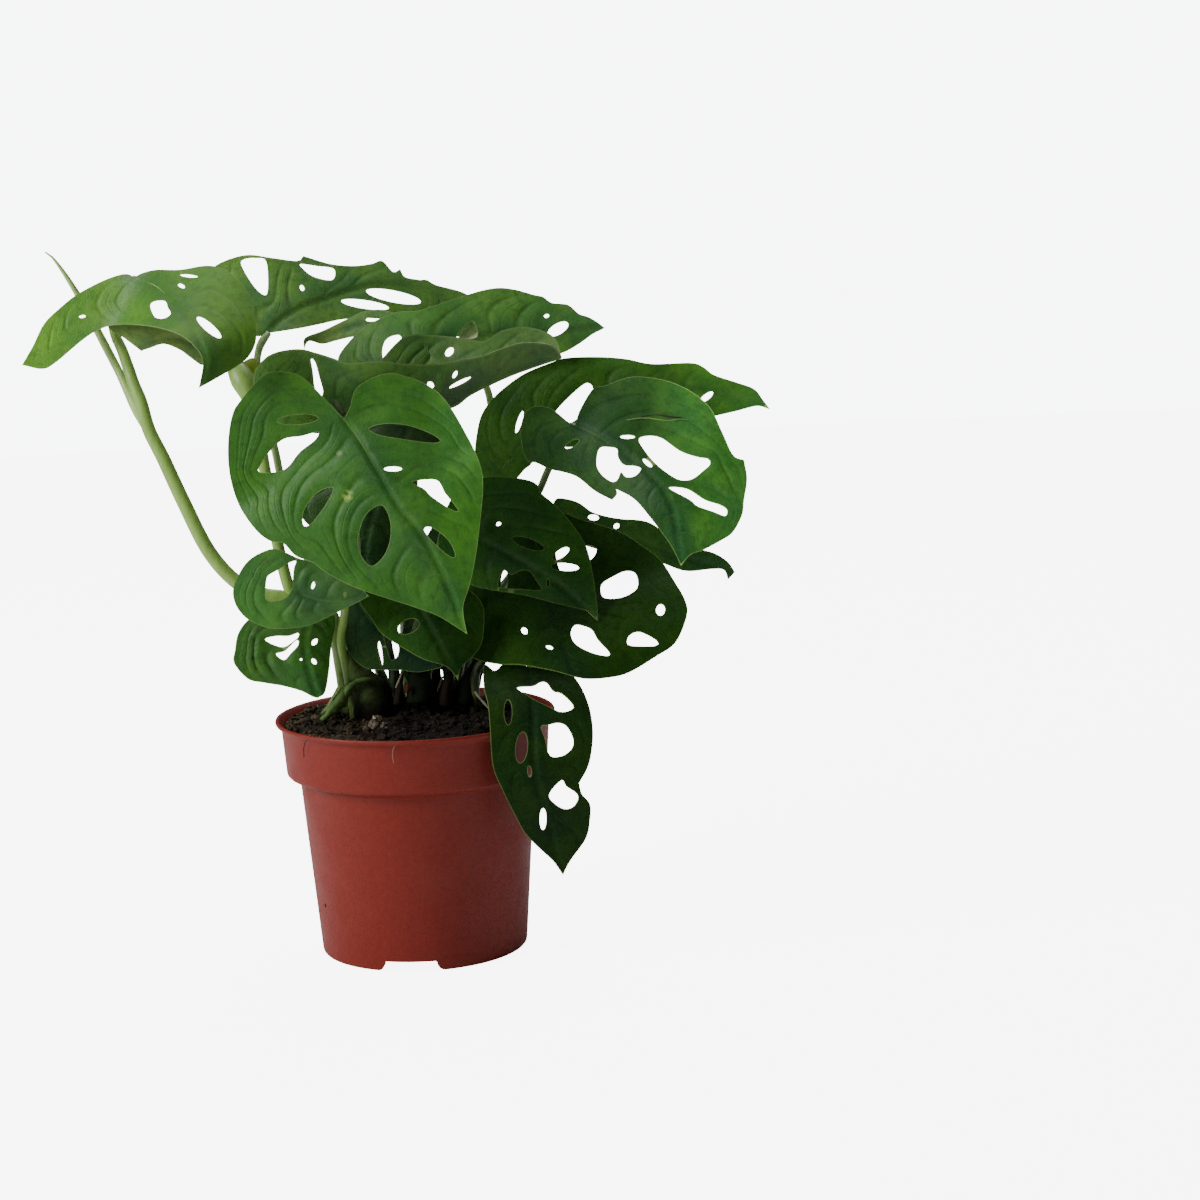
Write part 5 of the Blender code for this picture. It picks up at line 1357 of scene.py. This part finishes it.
# Large dark leaf at the lower right
# A broad, very dark and dull blade with two rows of large holes. Its stalk leans out behind
# it from the right of the soil.
leaf_right_low = dict(
    mid=[(533, 535, 8), (545, 570, -4), (552, 605, -16), (565, 647, -34), (575, 677, -46)],
    edge=[(533, 535, 1), (515, 527), (490, 532), (470, 555), (462, 590), (463, 630), (471, 656),
          (498, 664), (521, 665), (554, 671), (575, 677, 1), (587, 679), (606, 678), (628, 673),
          (657, 656), (676, 642), (687, 615), (685, 600), (676, 584), (661, 561), (645, 548),
          (620, 532), (583, 520), (562, 513), (545, 518)],
    holes=[[(602, 584), (616, 575), (626, 571), (635, 573), (638, 582), (636, 590), (624, 597),
            (610, 599), (602, 596)],
           [(586, 546), (596, 548), (595, 555), (589, 560)],
           (661, 604, 660, 616, 9),
           [(627, 642), (630, 635), (640, 632), (657, 641), (655, 646), (631, 646)],
           [(571, 632), (575, 625), (584, 626), (592, 630), (598, 640), (609, 652), (608, 656),
            (595, 654), (581, 648), (573, 641)],
           [(556, 548), (571, 546), (582, 562), (581, 573), (562, 574)],
           (505, 570, 504, 592, 7), (522, 628, 527, 634, 6), (546, 646, 553, 649, 4)],
    slope=((0.15, 60), (0.2, 60)), root=(17, 8),
    stalk=[(468, 640, 14), (500, 590, 18), (525, 556, 14)])
blade = grow_blade("leaf_right_low", leaf_right_low, (0.0115, 0.047, 0.0035), sheen=0.62,
                   gloss=0.06)
grow_stalk("stalk_right_low", leaf_right_low, DARK_STALK)

# Leaf seen edge on at the right
# A dark blade turned away, of which only the narrow outer part shows. Its stalk rises from
# the back of the soil.
leaf_right_narrow = dict(
    mid=[(552, 508, 30), (600, 527, 30), (650, 545, 29), (700, 562, 27), (735, 572, 25)],
    edge=[(552, 508, 1), (565, 535), (600, 550), (640, 556), (662, 563), (686, 571), (712, 569),
          (724, 570), (728, 580, 1), (735, 572, 1), (728, 562), (716, 554), (703, 550),
          (680, 545), (650, 523), (622, 519), (609, 517), (592, 512), (579, 503), (566, 499),
          (556, 499)],
    holes=[(588, 517, 599, 518, 6), (614, 528, 619, 524, 5)],
    slope=((-0.3, 60), (0.5, 60)), root=(23, 15),
    stalk=[(478, 640, 28), (510, 580, 34), (536, 530, 34)])
blade = grow_blade("leaf_right_narrow", leaf_right_narrow, (0.045, 0.155, 0.018), gloss=0.2)
grow_stalk("stalk_right_narrow", leaf_right_narrow, DARK_STALK)

# Hanging leaf
# A long and very dark blade, darkened further by painted shade, with large holes that hangs
# down in front of the pot, from the end of a short stalk that arches over the rim.
leaf_hanging = dict(
    mid=[(530, 668, -20), (532, 690, -36), (533, 723, -49), (535, 773, -54), (548, 823, -50),
         (563, 875, -44)],
    edge=[(530, 668, 1), (515, 662), (503, 664), (499, 668), (494, 671), (484, 665), (484, 688),
          (488, 705), (490, 728), (493, 766), (503, 791), (517, 819), (525, 833), (537, 846),
          (553, 861), (563, 875, 1), (570, 861), (586, 838), (590, 819), (590, 804), (582, 794),
          (579, 783, 1), (587, 769), (591, 755), (593, 733), (590, 710), (583, 691), (574, 677),
          (562, 666), (545, 662)],
    holes=[[(517, 688), (533, 686), (541, 682), (547, 683), (553, 691), (562, 694), (573, 705),
            (571, 710), (560, 712), (545, 705), (533, 699)],
           [(541, 727), (548, 725), (559, 723), (567, 727), (573, 739), (572, 748), (564, 755),
            (553, 757), (548, 752), (545, 739)],
           (508, 700, 508, 725, 8), (523, 732, 520, 763, 12), (529, 766, 530, 777, 4),
           [(562, 780), (566, 786), (576, 793), (578, 799), (573, 807), (564, 809), (554, 803),
            (549, 796), (553, 788)],
           (543, 808, 543, 830, 7)],
    slope=((-0.15, 60), (0.15, 60)), root=(26, -3),
    stalk=[(477, 670, -6), (496, 650, -10), (518, 650, -13), (529, 660, -15)])
blade = grow_blade("leaf_hanging", leaf_hanging, (0.0092, 0.036, 0.0028), sheen=0.52, midrib=0.05,
                   gloss=0.08)
grow_stalk("stalk_hanging", leaf_hanging, DARK_STALK)

# Small curled leaf at the left
# A small mid green blade, deeply folded between its veins, whose left lobe curls round its
# largest hole. Its short pale stalk branches from the long one.
leaf_left_small = dict(
    mid=[(301, 594, -29), (320, 600, -31), (343, 601, -33), (369, 596, -35)],
    edge=[(298, 558), (276, 549), (260, 553), (247, 562), (238, 576), (233, 590), (235, 603),
          (242, 614), (251, 621), (269, 628), (292, 628), (310, 625), (328, 617), (346, 608),
          (360, 601), (369, 596, 1), (355, 583), (335, 572), (315, 563)],
    holes=[[(266, 584), (268, 576), (276, 571), (289, 563), (296, 561), (294, 568), (293, 577),
            (292, 589), (285, 598), (275, 601), (266, 599)],
           (315, 581, 312, 589, 3.5), (345, 592, 345, 597, 3)],
    slope=((0.1, 60), (0.1, 60)),
    stalk=[(303, 602.5, -5), (302, 601, -16), (302, 597, -24)])
blade = grow_blade("leaf_left_small", leaf_left_small, (0.041, 0.166, 0.015), spacing=11.0,
                   quilt=0.85, sheen=0.45, midrib=0.3, change=(-0.065, -0.04, 0.68))
grow_stalk("stalk_left_small", leaf_left_small, PALE_STALK)

# Low leaf at the left
# A dark crumpled blade below the curled one, puckered between its veins and round its holes.
# Its very short stalk branches from the long one.
leaf_left_low = dict(
    mid=[(312, 610, -12), (305, 640, -15), (309, 672, -18), (318, 697, -20)],
    edge=[(312, 610, 1), (290, 611), (265, 612), (248, 620), (238, 634), (235, 650), (234, 663),
          (248, 679), (265, 683), (283, 686), (301, 691), (313, 697), (318, 698, 1), (325, 692),
          (329, 670), (331, 648), (336, 620), (327, 608)],
    holes=[[(265, 639), (276, 636), (289, 636), (298, 633), (298, 637), (291, 643), (283, 647),
            (272, 644)],
           [(276, 654), (285, 651), (297, 640), (298, 645), (291, 653), (284, 660)],
           (312, 645, 317, 639, 5), (312, 659, 316, 664, 4.5), (300, 659, 302, 660, 2.5)],
    slope=((0.05, 60), (0.5, 60)),
    stalk=[(322, 616, -7.5), (317, 613, -9.0)])
blade = grow_blade("leaf_left_low", leaf_left_low, (0.027, 0.109, 0.007), spacing=10.0,
                   quilt=0.95, edge=0.5, change=(-0.06, -0.045, 1.6))
grow_stalk("stalk_left_low", leaf_left_low, GREEN_STALK, radii=(1.3, 1.2))

# Leaf below the front one
# A dark green blade, darkened by painted shade and darker still at its right, that points down
# under the large front leaf. It bends forward over the soil from a short dark stalk.
leaf_below_front = dict(
    mid=[(410, 588, -18), (425, 618, -25), (443, 652, -31), (458, 680, -35)],
    edge=[(410, 588, 1), (390, 582), (367, 587), (359, 600), (373, 621), (382, 634), (400, 646),
          (423, 659), (447, 667), (458, 680, 1), (461, 668), (472, 657), (481, 645), (484, 625),
          (482, 604), (465, 588), (435, 580)],
    holes=[(398, 631, 419, 622, 14)],
    slope=((-0.05, 60), (0.3, 60)), root=(-9, -4),
    stalk=[(392, 665, -4), (388, 642, -4), (389, 614, -4), (398, 598, -10)])
blade = grow_blade("leaf_below_front", leaf_below_front, (0.016, 0.07, 0.004), quilt=0.5,
                   change=(0.0, 0.014, 0.6), gloss=0.1)
grow_stalk("stalk_below_front", leaf_below_front, DARK_STALK)

# Low dark leaf
# A bluish dark blade behind that one, just over the soil, darkened further by painted shade,
# with two small holes. It has a short dark stalk of its own.
leaf_low_dark = dict(
    mid=[(357, 600, -6), (372, 622, -9), (405, 650, -12), (440, 668, -13)],
    edge=[(357, 600, 1), (347, 605), (344, 618), (345, 640), (349, 652), (357, 662), (366, 668),
          (378, 670), (400, 670), (418, 672), (440, 668, 1), (449, 660), (440, 653), (418, 645),
          (396, 632), (380, 617), (368, 605)],
    holes=[(379, 641, 382, 666, 4),
           [(383, 632), (389, 638), (398, 644), (398, 655), (392, 660), (388, 652)]],
    slope=((0.1, 60), (0.1, 60)), root=(-18, 0),
    stalk=[(366, 660, 0), (364, 630, -2), (360, 612, -3)])
blade = grow_blade("leaf_low_dark", leaf_low_dark, (0.014, 0.056, 0.009), sheen=0.5, gloss=0.15)
grow_stalk("stalk_low_dark", leaf_low_dark, DARK_STALK)

# Upper leaf on the far side
# A dark blade behind the stalks, darkened further by painted shade, seen through the holes of
# the front leaves. Its stalk rises from the back of the soil.
leaf_back_high = dict(
    mid=[(415, 410, 42), (400, 450, 46), (378, 500, 48), (365, 550, 46), (370, 592, 42)],
    edge=[(415, 410, 1), (397, 400), (368, 405), (350, 425), (342, 458), (322, 478), (297, 490),
          (297, 511), (303, 519), (312, 527), (336, 537), (348, 555), (356, 574), (370, 592, 1),
          (388, 570), (398, 540), (402, 510), (404, 482), (424, 466), (440, 448), (443, 430),
          (432, 413)],
    holes=[(366, 462, 350, 476, 8), (388, 452, 414, 454, 7), (384, 469, 402, 469, 7)],
    slope=((0.25, 60), (0.25, 60)), root=(-4, 43),
    stalk=[(406, 650, 46), (404, 620, 50), (412, 520, 58), (416, 440, 55)])
blade = grow_blade("leaf_back_high", leaf_back_high, (0.012, 0.055, 0.005))
grow_stalk("stalk_back_high", leaf_back_high, DARK_STALK)

# Right leaf on the far side
# A dark blade between the front leaf and the ones at the right, darkened further by painted
# shade. Its stalk rises from the back of the soil.
leaf_back_right = dict(
    mid=[(455, 505, 44), (452, 545, 50), (458, 590, 52), (470, 628, 50)],
    edge=[(455, 505, 1), (440, 511), (433, 525), (428, 534), (421, 545), (420, 561), (430, 590),
          (450, 612), (470, 628, 1), (482, 600), (491, 570), (494, 540), (488, 517), (470, 503)],
    holes=[(444, 548, 430, 560, 9), (462, 566, 480, 580, 10)],
    slope=((0.2, 60), (0.2, 60)), root=(3, 44),
    stalk=[(438, 640, 54), (450, 570, 60), (455, 528, 55)])
blade = grow_blade("leaf_back_right", leaf_back_right, (0.01, 0.045, 0.004))
grow_stalk("stalk_back_right", leaf_back_right, DARK_STALK)

# Low leaf on the far side
# A dark blade, darkened further by painted shade, that closes the gap over the back of the
# rim. Its short stalk leans back from the soil.
leaf_back_low = dict(
    mid=[(428, 600, 34), (434, 630, 35), (444, 662, 36), (458, 691, 36)],
    edge=[(428, 600, 1), (412, 606), (403, 628), (401, 655), (404, 676), (415, 689), (436, 695),
          (458, 691, 1), (470, 672), (474, 642), (468, 615), (450, 600)],
    holes=[(424, 628, 414, 636, 7),
           [(436, 670), (442, 670), (443, 683), (439, 684)]],
    slope=((0.1, 60), (0.1, 60)), root=(16, 49),
    stalk=[(452, 655, 48), (434, 618, 43)])
blade = grow_blade("leaf_back_low", leaf_back_low, (0.007, 0.03, 0.003))
grow_stalk("stalk_back_low", leaf_back_low, DARK_STALK)

# Stem bases and roots
# The old stem ends that the stalks rise from, stuck in the peat: a green swollen base with an
# arched young root over it, dark dead stubs, dry brown husks between the stalks, and thin roots.
BASE_SIDES = 20


def grown(name, points, skin, lumps=0.3, size=5.0):
    """A swollen stem or root through points with depths and radii, its surface a little uneven."""
    points = np.array(points, float)
    line = smooth_run(np.column_stack([spots(points[:, :2], points[:, 2]), points[:, 3] * MM]), MM)
    made = make_tube(name, line[:, :3], line[:, 3] / MM, BASE_SIDES)
    for vert in made.data.vertices:
        vert.co += vert.normal * (lumps * MM * noise.noise(vert.co / (size * MM)))
    made.data.materials.append(skin)
    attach(made, "root")


def base_material(name, lit, shaded, dark_top):
    """Stem skin that goes from a lit to a shaded colour across the base, with scars and specks."""
    material, tree, shader = new_material(name, 0.6, 0.15)
    start, end = spots([(344, 690), (394, 690)], [0.0, 0.0])[:, 0].tolist()
    across = mapped(tree, along_axis(tree, "X"), start, end, 0.0, 1.0)
    colour = mix_colours(tree, across, lit, shaded)
    scars = patches(tree, 160.0, 4.0, 0.45, 0.7, 0.7)
    colour = mix_colours(tree, scars, colour, scaled(shaded, 0.8))
    # The base turns darker toward its foot, below the given height.
    darker_below = mapped(tree, along_axis(tree, "Z"), dark_top - 0.008, dark_top, 1.0, 0.0)
    feed(tree, shader.inputs["Base Color"], mix_colours(tree, darker_below, colour, DARK_AT_FOOT))
    bumped(tree, grain(tree, 500.0, 3.0), 0.0004)
    return material


BASE_GREEN = base_material("stem_base_green", (0.06, 0.1, 0.022), (0.003, 0.006, 0.002), 0.115)
ROOT_GREEN = base_material("young_root_green", (0.075, 0.14, 0.035), (0.005, 0.009, 0.003), 0.099)
# Stubs and husks: dark of their own, darkened further as painted shade in the depth of the stalks.
STUB_DARK = plain_material("stub_dark", (0.0045, 0.007, 0.0025), 0.9, 0.1)
HUSK_BROWN = plain_material("husk_brown", (0.016, 0.011, 0.007), 0.9, 0.1)
ROOT_PALE = plain_material("root_pale", (0.2, 0.18, 0.11), 0.7)
CHIP_RED = plain_material("chip_red", (0.06, 0.014, 0.008), 0.9, 0.1)

grown("stem_base_front", [(347, 650, -7, 0.9), (350, 660, -7, 2.0), (355, 671, -6, 4.0),
                          (363, 682, -5, 6.4), (369, 692, -4, 8.6), (373, 702, -3, 9.6),
                          (374, 712, -2, 9.8)], BASE_GREEN, 0.7, 7.0)
grown("arched_root", [(344, 706, -13.5, 1.2), (345, 696, -14, 1.5), (350, 687, -13.5, 1.3),
                      (359, 681, -12.6, 1.1), (370, 679, -12, 1.0), (380, 681, -11, 0.9),
                      (387, 686, -8.5, 0.8), (391, 693, -6, 0.7)], ROOT_GREEN, 0.35, 3.0)
grown("root_flange", [(350, 683, -9, 1.2), (346, 692, -12, 2.4), (340, 701, -14, 3.0),
                      (334, 708, -15, 2.6), (328, 714, -16, 1.7), (322, 720, -17, 0.8)],
      ROOT_GREEN, 0.9, 3.4)
grown("stub_middle", [(417, 660, -4, 3.6), (418, 672, -6, 4.8), (420, 686, -7, 5.8),
                      (421, 702, -8, 6.6)], STUB_DARK, 0.8, 4.0)
grown("stub_left", [(395, 664, 2, 1.6), (396, 676, 0, 2.2), (396, 690, -2, 3.4),
                    (395, 706, -3, 4.4)], STUB_DARK, 0.6, 4.0)
grown("stub_right", [(480, 660, 2, 2.6), (474, 674, 0, 3.8), (467, 690, -1, 5.2),
                     (463, 704, -2, 6.0)], STUB_DARK, 0.7, 4.0)
grown("husk_middle", [(402, 670, -7, 0.5), (401, 679, -8, 1.1), (399, 690, -9, 1.7),
                      (398, 704, -9, 2.4)], HUSK_BROWN, 0.5, 2.5)
grown("husk_right", [(451, 668, -5, 0.6), (449, 680, -6, 1.6), (446, 692, -7, 2.6),
                     (444, 706, -8, 3.4)], HUSK_BROWN, 0.6, 3.0)
grown("husk_back", [(436, 664, 2, 1.2), (437, 678, 1, 2.4), (438, 692, 0, 3.6),
                    (438, 706, 0, 4.6)], HUSK_BROWN, 0.6, 3.0)
grown("chip", [(407, 684, -13, 0.5), (408, 688, -13.5, 1.1), (407, 693, -14, 0.6)],
      CHIP_RED, 0.3, 1.5)
grown("root_right", [(473, 688, -4, 0.5), (478, 696, -8, 0.6), (484, 703, -12, 0.5),
                     (489, 709, -14, 0.4)], ROOT_PALE, 0.2, 3.0)
grown("root_middle", [(403, 671, -8, 0.35), (400, 678, -9, 0.5), (396, 688, -10, 0.5)],
      ROOT_PALE, 0.2, 3.0)
grown("root_thin", [(443, 676, -5, 0.3), (440, 684, -6, 0.45), (437, 692, -8, 0.5)],
      ROOT_PALE, 0.2, 3.0)

# Fibres
# Thin brown peat fibres that lie curled on the crumbs, bedded in them with both ends, a thread of
# peat over the rim of the pot, and a fine root hair and a speck of peat in front of its plastic.
FIBRE_REACH = 54.5
FIBRE_STEPS = 6
FIBRE_STEP = 1.1
FIBRE_CLEAR = 0.3


def strands(name, runs, radius, skin):
    """Many thin round strands in one object."""
    curve = bpy.data.curves.new(name, "CURVE")
    curve.dimensions = "3D"
    curve.bevel_depth = radius * MM
    curve.bevel_resolution = 0
    curve.use_fill_caps = True
    for run in runs:
        add_line(curve, np.array(run) * MM)
    pick(linked(name, curve))
    bpy.ops.object.convert(target="MESH")
    bpy.ops.object.shade_smooth()
    made = bpy.context.object
    made.data.materials.append(skin)
    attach(made, "root")


fibres = []
for across, back in strewn(520, 53.0):
    turn, bend = draw.uniform(0, 2 * pi), draw.normal(0, 0.5)
    lift = draw.uniform(0.2, 1.4)
    run = [(across, back)]
    for _ in range(FIBRE_STEPS):
        across, back = across + FIBRE_STEP * cos(turn), back + FIBRE_STEP * sin(turn)
        turn += bend
        run.append((across, back))
    if all(x * x + y * y < FIBRE_REACH ** 2 for x, y in run):
        fibres.append([(x, y, crumbled(x, y) + FIBRE_CLEAR + lift * sin(pi * i / FIBRE_STEPS))
                       for i, (x, y) in enumerate(run)])
strands("peat_fibres", fibres[::2], 0.13, HUSK_BROWN)
strands("peat_fibres_pale", fibres[1::4], 0.11, CRUMB_BROWN)
strands("peat_fibres_dark", fibres[3::4], 0.16, CRUMB_DARK)
for name, points, depths, radius, skin in (
        ("thread_over_rim", [(319, 727), (313, 733), (309, 738), (305, 743), (303.5, 749),
                             (304, 757)],
         [-39.5, -42.6, -40.4, -37.6, -36.6, -35.6], 0.17, HUSK_BROWN),
        ("hair_on_collar", [(396, 744), (393, 749), (392.5, 756), (393.5, 763)],
         [-59.5, -59.3, -59.2, -59.1], 0.14, ROOT_PALE),
        ("speck_on_pot", [(325, 904), (325.6, 907)], [-32.6, -32.4], 0.4, CRUMB_BROWN)):
    strands(name, [spots(points, depths) / MM], radius, skin)

# Torn sheath and joint
# Two small thin flaps of torn tissue: the yellowed sheath of a stalk, folded out at its top, and a
# pale flap at the edge of a torn hole, made paler still by painted light. Under the large front
# leaf its stalk ends in a dark joint.
FLAP_THICKNESS = 0.4
FLAP_SMOOTHING = 2


def flap(name, rim, middle, skin):
    """A small thin piece of tissue: a fan of faces from its middle to its rim, thickened."""
    places = np.array(rim + [middle], float)
    mesh = bpy.data.meshes.new(name)
    faces = [(i, (i + 1) % len(rim), len(rim)) for i in range(len(rim))]
    mesh.from_pydata(spots(places[:, :2], places[:, 2]).tolist(), [], faces)
    made = linked(name, mesh)
    finished(made, "SUBSURF", levels=FLAP_SMOOTHING, render_levels=FLAP_SMOOTHING,
             boundary_smooth="PRESERVE_CORNERS")
    finished(made, "SOLIDIFY", thickness=FLAP_THICKNESS * MM)
    bpy.ops.object.shade_smooth_by_angle(angle=BLADE_SHARP)
    made.data.materials.append(skin)
    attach(made, "root")


flap("sheath_flap", [(234, 369, 4), (245, 361, 5), (255, 356, 7), (258, 366, 5), (256, 378, 2.5),
                     (251, 382, 0.5), (244, 376, 0.5)], (248, 368, 2.5),
     plain_material("sheath_yellow_green", (0.3, 0.44, 0.03), 0.5))
# Painted light: the flap's pale green is raised for the light through it in the leaf's shade.
flap("torn_flap", [(459, 341, 17.5), (458, 336, 19), (466, 327, 23), (476, 321, 26),
                   (479, 331, 23), (476, 342, 17.8), (467, 345, 17)], (468, 335, 22),
     plain_material("torn_flap_painted_light", (0.62, 0.74, 0.36), 0.5))
grown("stalk_joint_front", [(335, 400, -37.5, 0.9), (339, 407, -39, 1.3), (344, 415, -40.2, 1.0)],
      plain_material("stalk_joint_green", (0.04, 0.07, 0.02), 0.7, 0.2), 0.3, 2.0)

# Update
# The view layer is brought up to date, so that every piece stands where it was put.
bpy.context.view_layer.update()
